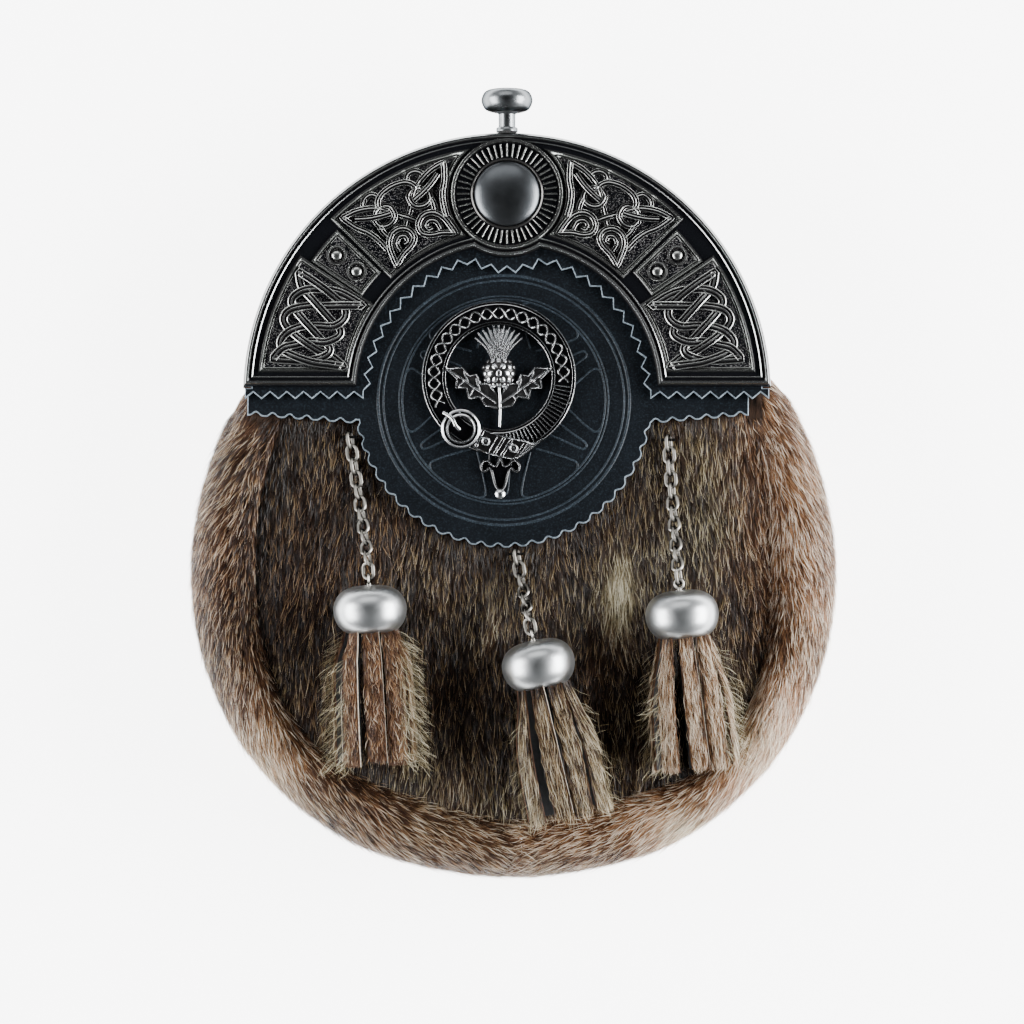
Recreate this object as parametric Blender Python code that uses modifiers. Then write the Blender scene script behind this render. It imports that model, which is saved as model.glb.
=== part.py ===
"""A dress sporran pouch lying on its back.

A round hide pouch has a padded roll sewn round its front panel, a plain back panel with
two belt loops, and a mouth that stays open behind the cantle. The cantle is a cast arch
with raised borders, knotwork panels and a domed medallion, and a button knob on its top.
Under it lie a pinked leather backing and a scalloped flap with a strap and buckle badge.
Three cable chains lead from staples in the front to capped hide tassels.

All sizes are millimetres about the centre of the cantle's arc: +X to the right, +Y up the
pouch, +Z out of its front, and the height is measured from the surface it lies on. What
lies on the sloping front is drawn flat, in a plane that is then tilted.
"""
import math

import bmesh
import bpy
from mathutils import Matrix, Vector

MM = 0.001
GAP = 0.3                       # running gap between pieces that touch
FULL_TURN = 360.0
FLAT_ANGLE = 0.4                # faces of a casting this near to one plane are one face

# Pouch body
BODY_X, BODY_Y = 1.8, -51.5     # centre of the round body
ORIGIN_UP = 23.53               # the cantle's centre above the middle of the whole length
HIDE_THICK = 3.0                # hide with its dense underfur
SHOULDER_TURN = 131.0           # the roll ends here, under the cantle's feet
SHOULDER_EASE = 0.8             # the panels keep to the seam this far past the roll's end
SHOULDER_STEP = 3.0             # and have reached the arc behind the cantle by here
SEAM_TURN = 1.6                 # the two gussets meet just right of straight down
SEAM_PLAY = 0.22                # half the turn between them
STATIONS = 13                   # sections along each gusset
BACK_LOW, BACK_THICK = 6.3, 2.0
FRONT_ARC = 71.0                # front and back panels end in this arc behind the cantle
FRONT_LEVEL = 27.0              # height of the front plane on the cantle's centre
FRONT_FALL = math.degrees(math.atan(8.0 / 72.0))
LIP_SHARE = -0.30               # the gusset's lip under the back panel, in roll widths

# Cantle
CANTLE_RADIUS = 73.8
CANTLE_FOOT = 2.1               # its lower edges stand this far above the centre
ARCH_RADIUS = 42.1
MEDAL_Y = 56.3
MEDAL_BUMP = 17.9               # the arch bulges round the medallion
RIM_WALL = 1.8
RIM_LOW, RIM_HIGH = 0.3, 5.2
PLATE_LOW, PLATE_TOP = 4.3, 5.9
BORDER_TOP = 7.1
PANEL_TOP = 6.8
DOME_RADIUS, DOME_HIGH = 9.2, 3.4
RAY_COUNT = 18

# Leather under the cantle
FLAP_LOW, FLAP_THICK = 0.3, 1.8
BACKING_LOW, BACKING_THICK = 2.4, 1.6
TONGUE_X, TONGUE_Y, TONGUE_RADIUS = -1.0, -1.1, 41.3
PINK_PITCH = 4.75
FLAP_PINK, BACKING_PINK = 0.95, 1.7     # depth of the cut edges

# Badge
BADGE_X, BADGE_Y = -2.3, 4.8
BADGE_LOW = FLAP_LOW + FLAP_THICK + GAP
STRAP_OUTER, STRAP_INNER = 21.6, 14.7
BUCKLE_X, BUCKLE_Y = -12.9, -9.8

# Knob
BUTTON_RADIUS, BUTTON_THICK = 7.2, 6.2
KNOB_STEM, KNOB_COLLAR = 2.35, 3.0
KNOB_HIGH = 12.0
KNOB_LEVEL = 3.6                # its axis above the front plane

# Chains and tassels
WIRE = 0.85
LINK_LONG, LINK_WIDE = 4.9, 3.7
LINK_PITCH = 3.38               # at least: the links touch
LINK_ROLL = 16.0                # the flat links lie a little turned
HEAD_RADIUS, HEAD_LONG = 10.2, 13.4
STRIPS = 8
STRIP_THICK = 1.1
EYE_BORE, EYE_RADIUS, EYE_RISE = 1.3, 1.25, 1.9
HEAD_OPENING = 7.7
TASSEL_PITCH = 3.0              # the fringe lies lower than the head
STAPLE_RISE = 2.4
CHAIN_LIES = 0.4                # share of a chain that lies flat on the front

# Belt loops
LOOP_WIDE, LOOP_THICK = 18.0, 1.6
LOOP_X, LOOP_Y = 38.0, 28.0
LOOP_FEET, LOOP_SPAN = 44.0, 26.0

# Round the body, from straight down to the shoulders.
# turn_deg, outline radius, seam radius left, seam radius right, crown above the seam
BODY_ROWS = (
    (0.0, 82.4, 67.4, 67.4, 2.4),
    (15.0, 83.1, 66.2, 66.8, 2.7),
    (30.0, 85.4, 67.8, 69.4, 3.0),
    (45.0, 87.0, 71.4, 74.6, 3.0),
    (60.0, 88.3, 73.2, 75.0, 3.0),
    (75.0, 89.0, 72.6, 73.6, 3.0),
    (90.0, 89.6, 72.6, 72.6, 3.0),
    (105.0, 90.0, 74.4, 74.8, 2.8),
    (118.0, 91.0, 77.0, 77.8, 1.6),
    (125.0, 91.6, 79.3, 79.8, 0.0),
    (131.0, 91.2, 80.5, 80.8, -1.4),
)

# Down the middle of the front: distance up the pouch, height, fall towards the sides
FRONT_ROWS = (
    (-119.0, 31.0, 2.0),
    (-100.0, 33.2, 2.6),
    (-80.0, 33.8, 3.0),
    (-50.0, 31.7, 3.0),
    (-25.0, 29.4, 1.5),
    (0.0, 26.9, 0.0),
    (36.0, 23.0, 0.0),
    (72.0, 19.0, 0.0),
)

# Across the padded roll, from the sewn edge over the crown to the lip under the back
# across in roll widths, own height, share of the seam's height, share of the crown
ROLL_ROWS = (
    (0.00, -5.0, 1.00, 0.0),
    (0.00, 0.0, 1.00, 0.0),
    (0.20, 0.0, 1.00, 0.9),
    (0.50, 0.0, 1.00, 0.9),
    (0.80, 0.0, 0.90, 0.2),
    (0.98, 0.0, 0.66, 0.0),
    (0.98, 0.0, 0.34, 0.0),
    (0.72, 0.0, 0.00, 0.0),
    (0.22, 0.0, 0.00, 0.0),
    (-0.04, 3.0, 0.00, 0.0),
    (LIP_SHARE, 3.0, 0.00, 0.0),
)

# Chains and tassels, in the plane of the front
# name, staple x, y, head centre x, y, lean_deg of the tassel
TASSEL_ROWS = (
    ("left", -44.0, -11.5, -38.1, -59.6, 2.4),
    ("center", 2.6, -44.2, 8.7, -74.8, 12.0),
    ("right", 45.1, -12.3, 48.7, -61.0, 5.5),
)

# Materials: name, sRGB colour, metallic, roughness
FINISH_ROWS = (
    ("fur_hide", "5A4234", 0.0, 0.9),
    ("black_leather", "17181C", 0.0, 0.45),
    ("antique_metal", "4A4846", 1.0, 0.35),
    ("satin_steel", "A9A9A7", 1.0, 0.32),
    ("tassel_hide", "6B4A38", 0.0, 0.85),
)


# ---------------------------------------------------------------------------
# Scene helpers
# ---------------------------------------------------------------------------
def clear_scene():
    """Take out what a new file holds."""
    for obj in list(bpy.data.objects):
        bpy.data.objects.remove(obj, do_unlink=True)
    for collection in list(bpy.data.collections):
        bpy.data.collections.remove(collection)


def new_collection(name):
    """A collection of the scene."""
    collection = bpy.data.collections.new(name)
    bpy.context.scene.collection.children.link(collection)
    return collection


def linear(channel):
    """One sRGB channel, 0 to 1, as linear light."""
    if channel <= 0.04045:
        return channel / 12.92
    return ((channel + 0.055) / 1.055) ** 2.4


def make_finish(name, colour, metallic, roughness):
    """A plain Principled material."""
    material = bpy.data.materials.new(name)
    material.use_nodes = True
    shader = material.node_tree.nodes["Principled BSDF"]
    rgb = [linear(int(colour[i:i + 2], 16) / 255.0) for i in (0, 2, 4)]
    shader.inputs["Base Color"].default_value = (*rgb, 1.0)
    shader.inputs["Metallic"].default_value = metallic
    shader.inputs["Roughness"].default_value = roughness
    material.diffuse_color = (*rgb, 1.0)
    return material


def make_guide(name, parent, place, turn=(0.0, 0.0, 0.0)):
    """An empty that pieces are placed by, in millimetres and degrees."""
    guide = bpy.data.objects.new(name, None)
    guide.empty_display_size = 5.0 * MM
    guide.location = Vector(place) * MM
    guide.rotation_euler = [math.radians(angle) for angle in turn]
    guide.parent = parent
    pouch.objects.link(guide)
    return guide


def mesh_object(name, mesh):
    """A mesh on the bench, still drawn in millimetres."""
    obj = bpy.data.objects.new(name, mesh)
    bench.objects.link(obj)
    return obj


def bake(obj):
    """The object as its modifiers leave it, welded, in place of the first one."""
    bpy.context.view_layer.update()
    graph = bpy.context.evaluated_depsgraph_get()
    mesh = bpy.data.meshes.new_from_object(obj.evaluated_get(graph))
    mesh.transform(obj.matrix_world)
    shape = bmesh.new()
    shape.from_mesh(mesh)
    bmesh.ops.remove_doubles(shape, verts=shape.verts, dist=0.0005)
    bmesh.ops.dissolve_degenerate(shape, edges=shape.edges, dist=0.0005)
    shape.to_mesh(mesh)
    shape.free()
    name = obj.name
    bpy.data.objects.remove(obj, do_unlink=True)
    return mesh_object(name, mesh)


def join(name, pieces):
    """Loose pieces as one mesh, for a single cut or union."""
    shape = bmesh.new()
    for piece in pieces:
        shape.from_mesh(piece.data)
        bpy.data.objects.remove(piece, do_unlink=True)
    mesh = bpy.data.meshes.new(name)
    shape.to_mesh(mesh)
    shape.free()
    return mesh_object(name, mesh)


def fuse(pieces):
    """Pieces that run into each other as one body."""
    base, tool = pieces[0], join("tool", pieces[1:])
    union = base.modifiers.new("union", "BOOLEAN")
    union.object = tool
    union.operation = "UNION"
    union.solver = "EXACT"
    union.use_self = True
    result = bake(base)
    bpy.data.objects.remove(tool, do_unlink=True)
    shape = bmesh.new()
    shape.from_mesh(result.data)
    bmesh.ops.dissolve_limit(shape, angle_limit=math.radians(FLAT_ANGLE),
                             verts=shape.verts, edges=shape.edges)
    bmesh.ops.triangulate(shape, faces=shape.faces)
    shape.to_mesh(result.data)
    shape.free()
    return result


def finish(obj, name, finish_name, parent, sharp=35.0):
    """Name a piece, turn it to metres, shade it, dress it and place it."""
    obj.name = name
    obj.data.name = name
    obj.data.transform(Matrix.Scale(MM, 4))
    obj.data.shade_smooth()
    obj.data.set_sharp_from_angle(angle=math.radians(sharp))
    obj.data.materials.clear()
    obj.data.materials.append(finishes[finish_name])
    obj.parent = parent
    bench.objects.unlink(obj)
    pouch.objects.link(obj)
    return obj


# ---------------------------------------------------------------------------
# Shape helpers, all in millimetres
# ---------------------------------------------------------------------------
def smooth_column(rows, column, value):
    """A smooth curve through one column of a table, read against its first column."""
    keys = [row[0] for row in rows]
    heights = [row[column] for row in rows]
    value = min(max(value, keys[0]), keys[-1])
    last = len(keys) - 2
    index = min(max(sum(key <= value for key in keys) - 1, 0), last)

    def slope(at):
        low, high = max(at - 1, 0), min(at + 1, len(keys) - 1)
        return (heights[high] - heights[low]) / (keys[high] - keys[low])

    span = keys[index + 1] - keys[index]
    t = (value - keys[index]) / span
    start, end = heights[index], heights[index + 1]
    return ((2 * t ** 3 - 3 * t ** 2 + 1) * start + (t ** 3 - 2 * t ** 2 + t) * span * slope(index)
            + (3 * t ** 2 - 2 * t ** 3) * end + (t ** 3 - t ** 2) * span * slope(index + 1))


def polar(x, y, radius, degrees):
    """A point at a radius and an angle about a centre."""
    turn = math.radians(degrees)
    return (x + radius * math.cos(turn), y + radius * math.sin(turn))


def arc(x, y, radius, start, end, steps):
    """Points along an arc, both ends included."""
    return [polar(x, y, radius, start + (end - start) * i / steps) for i in range(steps + 1)]


def prism(name, loops, low, high):
    """A flat outline, with any inner loops as holes, between two heights."""
    curve = bpy.data.curves.new(name, "CURVE")
    curve.dimensions = "2D"
    curve.fill_mode = "BOTH"
    curve.extrude = (high - low) / 2.0
    for loop in loops:
        spline = curve.splines.new("POLY")
        spline.points.add(len(loop) - 1)
        for point, (x, y) in zip(spline.points, loop):
            point.co = (x, y, 0.0, 1.0)
        spline.use_cyclic_u = True
    obj = bpy.data.objects.new(name, curve)
    obj.location = (0.0, 0.0, (low + high) / 2.0)
    bench.objects.link(obj)
    return bake(obj)


def wire(name, points, radius, closed=False, resolution=1):
    """A round wire through points."""
    curve = bpy.data.curves.new(name, "CURVE")
    curve.dimensions = "3D"
    curve.bevel_depth = radius
    curve.bevel_resolution = resolution
    curve.use_fill_caps = not closed
    spline = curve.splines.new("POLY")
    spline.points.add(len(points) - 1)
    for point, place in zip(spline.points, points):
        point.co = (*place, 1.0)
    spline.use_cyclic_u = closed
    obj = bpy.data.objects.new(name, curve)
    bench.objects.link(obj)
    return bake(obj)


def outward(obj):
    """Turn a closed body's faces to point out."""
    shape = bmesh.new()
    shape.from_mesh(obj.data)
    bmesh.ops.recalc_face_normals(shape, faces=shape.faces)
    shape.to_mesh(obj.data)
    shape.free()
    return obj


def turned(name, profile, steps, axis="Z"):
    """A profile of (radius, height) turned about the height axis."""
    edges = [(i, i + 1) for i in range(len(profile) - 1)]
    if min(radius for radius, _ in profile) > 0.0:
        edges.append((len(profile) - 1, 0))
    if axis == "Z":
        points = [(radius, 0.0, height) for radius, height in profile]
    else:
        points = [(radius, height, 0.0) for radius, height in profile]
    mesh = bpy.data.meshes.new(name)
    mesh.from_pydata(points, edges, [])
    obj = mesh_object(name, mesh)
    screw = obj.modifiers.new("turn", "SCREW")
    screw.axis = axis
    screw.steps = steps
    screw.render_steps = steps
    screw.use_merge_vertices = True
    screw.merge_threshold = 0.0001
    return outward(bake(obj))


def skin(name, rows, closed_rows=False, cap=False):
    """Faces between rows of points, each row matching the next point by point."""
    mesh = bpy.data.meshes.new(name)
    width = len(rows[0])
    points = [point for row in rows for point in row]
    faces = []
    for i in range(len(rows) - 1):
        for j in range(width if closed_rows else width - 1):
            after = (j + 1) % width
            faces.append((i * width + j, i * width + after,
                          (i + 1) * width + after, (i + 1) * width + j))
    if not cap:
        mesh.from_pydata(points, [], faces)
        return mesh_object(name, mesh)
    faces.append(tuple(reversed(range(width))))
    faces.append(tuple(range((len(rows) - 1) * width, len(rows) * width)))
    mesh.from_pydata(points, [], faces)
    return outward(mesh_object(name, mesh))


def thicken(obj, thickness):
    """Give an open surface its wall, on the side away from its faces' fronts."""
    wall = obj.modifiers.new("wall", "SOLIDIFY")
    wall.thickness = thickness
    wall.offset = -1.0
    wall.use_even_offset = True
    return bake(obj)


def path_length(path):
    """Length of a chain of straight runs."""
    return sum(math.dist(a, b) for a, b in zip(path, path[1:]))


def walk(path, distance):
    """The point and the direction at a distance along a path."""
    for a, b in zip(path, path[1:]):
        run = math.dist(a, b)
        if distance <= run or b is path[-1]:
            share = distance / run
            point = tuple(p + (q - p) * share for p, q in zip(a, b))
            return point, tuple((q - p) / run for p, q in zip(a, b))
        distance -= run
    raise ValueError("the path has no runs")


def pinked(path, depth):
    """A path cut with pinking shears: alternate points stand in and out."""
    length = path_length(path)
    count = 2 * round(length / PINK_PITCH)
    cut = []
    for i in range(count + 1):
        (x, y), (along_x, along_y) = walk(path, length * i / count)
        side = depth / 2.0 if i % 2 else -depth / 2.0
        cut.append((x + along_y * side, y - along_x * side))
    return cut


# ---------------------------------------------------------------------------
# Pouch body
# ---------------------------------------------------------------------------
def seam_radius(turn):
    """Where the front panel meets the roll, about the body's centre."""
    return smooth_column(BODY_ROWS, 2 if turn < 0 else 3, abs(turn))


def body_point(turn, radius):
    """A point of the body at a turn from straight down, positive to the right."""
    return polar(BODY_X, BODY_Y, radius, turn - 90.0)


def front_height(x, y):
    """Height of the front panel's face."""
    middle = smooth_column(FRONT_ROWS, 1, y)
    return middle - smooth_column(FRONT_ROWS, 2, y) * (x / 72.0) ** 2


def spread(start, end, steps):
    """Evenly spaced values, both ends included."""
    return [start + (end - start) * i / steps for i in range(steps + 1)]


def gusset(name, start, end):
    """One half of the padded roll: a hide wall, open towards the inside of the pouch."""
    rows = []
    for turn in spread(start, end, STATIONS):
        seam = seam_radius(turn)
        outline = smooth_column(BODY_ROWS, 1, abs(turn))
        crown = smooth_column(BODY_ROWS, 4, abs(turn))
        seam_height = front_height(*body_point(turn, seam))
        row = []
        for across, own, share, crown_share in ROLL_ROWS:
            x, y = body_point(turn, seam + across * (outline - seam))
            row.append((x, y, own + share * seam_height + crown_share * crown))
        rows.append(row)
    finish(thicken(skin(name, rows), HIDE_THICK), name, "fur_hide", centre)


def panel_outline(clearance):
    """Turns and radii round a panel: the seam, then the arc behind the cantle."""
    past, arc_from = SHOULDER_TURN + SHOULDER_EASE, SHOULDER_TURN + SHOULDER_STEP
    turns = [-past, *spread(-SHOULDER_TURN, SEAM_TURN - SEAM_PLAY, STATIONS),
             *spread(SEAM_TURN + SEAM_PLAY, SHOULDER_TURN, STATIONS), past]
    edge = [(turn, seam_radius(turn) - clearance) for turn in turns]
    for turn in spread(arc_from, FULL_TURN - arc_from, 10):
        aim_x, aim_y = polar(0.0, 0.0, 1.0, turn - 90.0)
        toward = BODY_X * aim_x + BODY_Y * aim_y
        off = BODY_X ** 2 + BODY_Y ** 2 - FRONT_ARC ** 2
        edge.append((turn, -toward + math.sqrt(toward ** 2 - off)))
    return edge


def front_panel():
    """The crowned front of hide."""
    edge = panel_outline(GAP)
    rows = []
    for share in (1.0, 0.78, 0.4):
        row = []
        for turn, radius in edge:
            x, y = body_point(turn, radius * share)
            row.append((x, y, front_height(x, y)))
        rows.append(row)
    panel = skin("front_panel", rows, closed_rows=True)
    shape = bmesh.new()
    shape.from_mesh(panel.data)
    shape.verts.ensure_lookup_table()
    middle = shape.verts.new((BODY_X, BODY_Y, front_height(BODY_X, BODY_Y)))
    inner = shape.verts[-1 - len(edge):-1]
    for i, vert in enumerate(inner):
        shape.faces.new((vert, inner[(i + 1) % len(inner)], middle))
    shape.to_mesh(panel.data)
    shape.free()
    finish(thicken(panel, HIDE_THICK), "front_panel", "fur_hide", centre)


def back_panel():
    """The flat leather back, lying on the gussets' lips."""
    outline = [body_point(turn, radius) for turn, radius in panel_outline(0.0)]
    panel = prism("back_panel", [outline], BACK_LOW, BACK_LOW + BACK_THICK)
    finish(panel, "back_panel", "black_leather", centre)


def belt_loop(name, x):
    """A leather bridge for the belt, its feet sewn flat to the back."""
    top = BACK_LOW - GAP
    low = GAP
    half_feet, half_span = LOOP_FEET / 2.0, LOOP_SPAN / 2.0
    rise = 5.0
    under = [(-half_feet, top), (-half_span - rise, top), (-half_span, low + LOOP_THICK),
             (half_span, low + LOOP_THICK), (half_span + rise, top), (half_feet, top)]
    outer = [(half_feet, top - LOOP_THICK), (half_span + rise, top - LOOP_THICK),
             (half_span, low), (-half_span, low),
             (-half_span - rise, top - LOOP_THICK), (-half_feet, top - LOOP_THICK)]
    rows = []
    for side in (x - LOOP_WIDE / 2.0, x + LOOP_WIDE / 2.0):
        rows.append([(side, LOOP_Y + along, height) for along, height in under + outer])
    finish(skin(name, rows, closed_rows=True, cap=True), name, "black_leather", centre)


# ---------------------------------------------------------------------------
# Leather and casting of the front, drawn flat
# ---------------------------------------------------------------------------
def arch_edge(radius, bump, foot, steps):
    """The arch's inner edge from right to left, bulging down round the medallion."""
    low = math.degrees(math.asin(foot / radius))
    lean = math.degrees(math.acos(
        (radius ** 2 + MEDAL_Y ** 2 - bump ** 2) / (2.0 * radius * MEDAL_Y)))
    corner = polar(0.0, 0.0, radius, 90.0 - lean)
    swing = math.degrees(math.atan2(corner[1] - MEDAL_Y, corner[0]))
    right = arc(0.0, 0.0, radius, low, 90.0 - lean, steps)
    round_medal = arc(0.0, MEDAL_Y, bump, swing, -180.0 - swing, steps // 2 + 2)
    left = arc(0.0, 0.0, radius, 90.0 + lean, 180.0 - low, steps)
    return right + round_medal[1:-1] + left


def cantle_outline(inset):
    """The cantle's outline moved inwards all round."""
    outer = CANTLE_RADIUS - inset
    foot = CANTLE_FOOT + inset
    low = math.degrees(math.asin(foot / outer))
    edge = arch_edge(ARCH_RADIUS + inset, MEDAL_BUMP - inset, foot, 6)
    return arc(0.0, 0.0, outer, low, 180.0 - low, 26) + edge[::-1]


def fan_outline(inner, outer, start, end, inset, floor=None, scoop=None):
    """A panel between two radii and two angles, moved inwards.

    The start lies nearer the foot. A floor cuts the panel level there, and a scoop cuts
    it round the medallion at its other end.
    """
    inner, outer = inner + inset, outer - inset
    if floor is not None:
        low_in = 180.0 - math.degrees(math.asin((floor + inset) / inner))
        low_out = 180.0 - math.degrees(math.asin((floor + inset) / outer))
    else:
        low_in = start - math.degrees(math.asin(inset / inner))
        low_out = start - math.degrees(math.asin(inset / outer))
    if scoop is None:
        high_in = end + math.degrees(math.asin(inset / inner))
        high_out = end + math.degrees(math.asin(inset / outer))
        side = []
    else:
        reach = scoop + inset
        angles = []
        for radius in (inner, outer):
            lean = (radius ** 2 + MEDAL_Y ** 2 - reach ** 2) / (2.0 * radius * MEDAL_Y)
            angles.append(90.0 + math.degrees(math.acos(lean)))
        high_in, high_out = angles
        turn_in, turn_out = [math.degrees(math.atan2(y - MEDAL_Y, x)) % FULL_TURN
                             for x, y in (polar(0.0, 0.0, inner, high_in),
                                          polar(0.0, 0.0, outer, high_out))]
        side = arc(0.0, MEDAL_Y, reach, turn_out, turn_in, 3)[1:-1]
    top = arc(0.0, 0.0, outer, low_out, high_out, 3)
    return top + side + arc(0.0, 0.0, inner, high_in, low_in, 2)


def mirrored(points):
    """The same points on the other side of the middle."""
    return [(-place[0], *place[1:]) for place in points]


# Panels of the left side: inner, outer, start_deg, end_deg, floor, scoop
PANEL_ROWS = (
    (44.9, 69.6, 175.0, 146.2, 6.0, None),
    (49.0, 66.2, 145.8, 135.9, None, None),
    (45.8, 69.7, 135.1, 105.0, None, 16.4),
)
FRAME_WIDE = 1.1
STRAND = 0.8
BOSS_ROWS = ((140.8, 61.5), (140.8, 54.3))      # angle and radius of the ring bosses
BOSS_RADIUS = 2.3


def plait_strands():
    """The two strands of the foot panel's plait."""
    middle, swing, waves = 57.4, 6.8, 1.5
    strands = []
    for phase in (0.0, 180.0):
        strand = []
        for share in spread(0.0, 1.0, 9):
            radius = middle + swing * math.cos(math.radians(phase + waves * FULL_TURN * share))
            x, y = polar(0.0, 0.0, radius, 150.0 + 19.0 * share)
            strand.append((x, y, PLATE_TOP))
        strands.append(strand)
    return strands


def knot_strands():
    """The winged knot of the panel beside the medallion: leaf, leaf, arch and curls."""
    axis = 120.5

    def spot(across, up):
        x, y = polar(0.0, 0.0, 57.0 + up, axis)
        lean = math.radians(axis - 90.0)
        return (x + across * math.cos(lean), y + across * math.sin(lean), PLATE_TOP)

    strands = []
    for side in (-1.0, 1.0):
        strands.append([spot(side * a, u) for a, u in (
            (2.2, 3.4), (9.4, 8.2), (7.6, 1.6), (3.4, -1.4))])
        strands.append([spot(side * a, u) for a, u in (
            (7.0, -9.0), (6.6, -4.4), (3.0, -4.0), (2.2, -7.0), (4.6, -7.4))])
    strands.append([spot(5.6 * math.cos(math.radians(turn)), 1.4 + 5.4 * math.sin(
        math.radians(turn))) for turn in (-30, 10, 50, 90, 130, 170, 210)])
    return strands


def cantle():
    """The cast arch, with all its relief in one body."""
    rim_low = math.degrees(math.asin(CANTLE_FOOT / CANTLE_RADIUS))
    rim = (arc(0.0, 0.0, CANTLE_RADIUS, rim_low, 180.0 - rim_low, 26)
           + arc(0.0, 0.0, CANTLE_RADIUS - RIM_WALL, 180.0 - rim_low, rim_low, 26))
    body = prism("rim", [rim], RIM_LOW, RIM_HIGH)
    plate = prism("plate", [cantle_outline(0.25)], PLATE_LOW, PLATE_TOP)
    border = prism("border", [cantle_outline(0.45), cantle_outline(2.1)], 5.0, BORDER_TOP)
    relief = [plate, border]
    for inner, outer, start, end, floor, scoop in PANEL_ROWS:
        loops = [fan_outline(inner, outer, start, end, inset, floor, scoop)
                 for inset in (0.0, FRAME_WIDE)]
        for side in (loops, [mirrored(loop) for loop in loops]):
            relief.append(prism("frame", side, PLATE_TOP - 0.4, PANEL_TOP))
    for number, strand in enumerate(plait_strands() + knot_strands()):
        lifted = [(x, y, z + 0.02 + 0.03 * number) for x, y, z in strand]
        for side in (lifted, mirrored(lifted)):
            relief.append(wire("strand", side, STRAND, resolution=0))
    for angle, radius in BOSS_ROWS:
        for side in (1.0, -1.0):
            x, y = polar(0.0, 0.0, radius, angle)
            boss = turned("boss", [(0.0, 0.9), (1.0, 0.25), (BOSS_RADIUS - 0.4, 0.8),
                                   (BOSS_RADIUS, -0.4), (0.0, -0.4)], 8)
            boss.location = (side * x, y, PLATE_TOP)
            relief.append(bake(boss))
    for i in range(RAY_COUNT):
        turn = FULL_TURN * i / RAY_COUNT
        ray = [polar(0.0, MEDAL_Y, radius, turn + side)
               for radius, side in ((10.3, -4.0), (14.2, -3.6), (14.2, 3.6), (10.3, 4.0))]
        relief.append(prism("ray", [ray], PLATE_TOP - 0.3, PLATE_TOP + 1.0))
    ring = turned("ring", [(14.9, 1.5), (15.9, 1.3), (15.9, -0.5), (14.9, -0.5)], 24)
    dome = turned("dome", [(0.0, DOME_HIGH), (DOME_RADIUS * 0.5, DOME_HIGH * 0.9),
                           (DOME_RADIUS * 0.85, DOME_HIGH * 0.6), (DOME_RADIUS, 0.8),
                           (DOME_RADIUS, -0.45), (0.0, -0.45)], 16)
    for piece in (ring, dome):
        piece.location = (0.0, MEDAL_Y, PLATE_TOP)
        relief.append(bake(piece))
    finish(fuse([body, *relief]), "cantle", "antique_metal", front)


def cantle_backing():
    """The pinked leather that shows round the cantle's inner and lower edges."""
    top_radius, edge_y, half = 71.4, -0.3, 73.3
    shoulder = 1.7
    low = math.degrees(math.asin(shoulder / top_radius))
    outer = arc(0.0, 0.0, top_radius, low, 180.0 - low, 16)
    inner = arch_edge(39.2, MEDAL_BUMP + 3.3, edge_y, 9)
    cut = pinked([(half, edge_y), *inner, (-half, edge_y)], BACKING_PINK)
    outline = [*cut, (-half, shoulder), *outer[::-1], (half, shoulder)]
    leather = prism("cantle_backing", [outline], BACKING_LOW, BACKING_LOW + BACKING_THICK)
    finish(leather, "cantle_backing", "black_leather", front)


def flap():
    """The flap: an arc under the cantle, short shoulders and a round scalloped tongue."""
    shoulder_y, low_y, root_y = 1.5, -5.2, -7.5
    left_x, right_x = -72.6, 67.6
    root = math.degrees(math.asin((TONGUE_Y - root_y) / TONGUE_RADIUS))
    low = math.degrees(math.asin(shoulder_y / FRONT_ARC))
    tongue = arc(TONGUE_X, TONGUE_Y, TONGUE_RADIUS, -root, -180.0 + root, 24)
    cut = pinked([(right_x, low_y), *tongue, (left_x, low_y)], FLAP_PINK)
    outline = [*cut, (left_x, shoulder_y),
               *arc(0.0, 0.0, FRONT_ARC, 180.0 - low, low, 16), (right_x, shoulder_y)]
    leather = prism("flap", [outline], FLAP_LOW, FLAP_LOW + FLAP_THICK)
    finish(leather, "flap", "black_leather", front)


# Thistle inside the strap, about the strap's centre
LEAF = ((0.0, -9.0), (3.6, -8.2), (5.2, -5.6), (8.4, -6.2), (9.0, -3.2), (12.2, -3.0),
        (11.8, -0.4), (15.0, 2.6), (10.2, 2.8), (8.2, 0.4), (6.2, 0.9), (5.0, -1.8),
        (2.8, -2.0), (0.0, -5.2))
TUFT = ((-2.6, 4.2), (-5.4, 12.4), (-3.4, 10.0), (-2.4, 14.2), (-1.0, 10.8), (0.0, 15.2),
        (1.0, 10.8), (2.4, 14.2), (3.4, 10.0), (5.4, 12.4), (2.6, 4.2))
# Half of the three-leaved drop under the strap, about its top
DROP = ((0.0, 0.0), (1.3, -3.0), (2.6, -3.7), (3.7, -2.2), (5.2, -2.8), (4.9, -4.3),
        (3.5, -4.1), (2.7, -5.4), (1.8, -9.2), (1.5, -11.2), (0.0, -11.9))


def shifted(points, x, y):
    """Flat points moved by an offset."""
    return [(px + x, py + y) for px, py in points]


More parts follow.
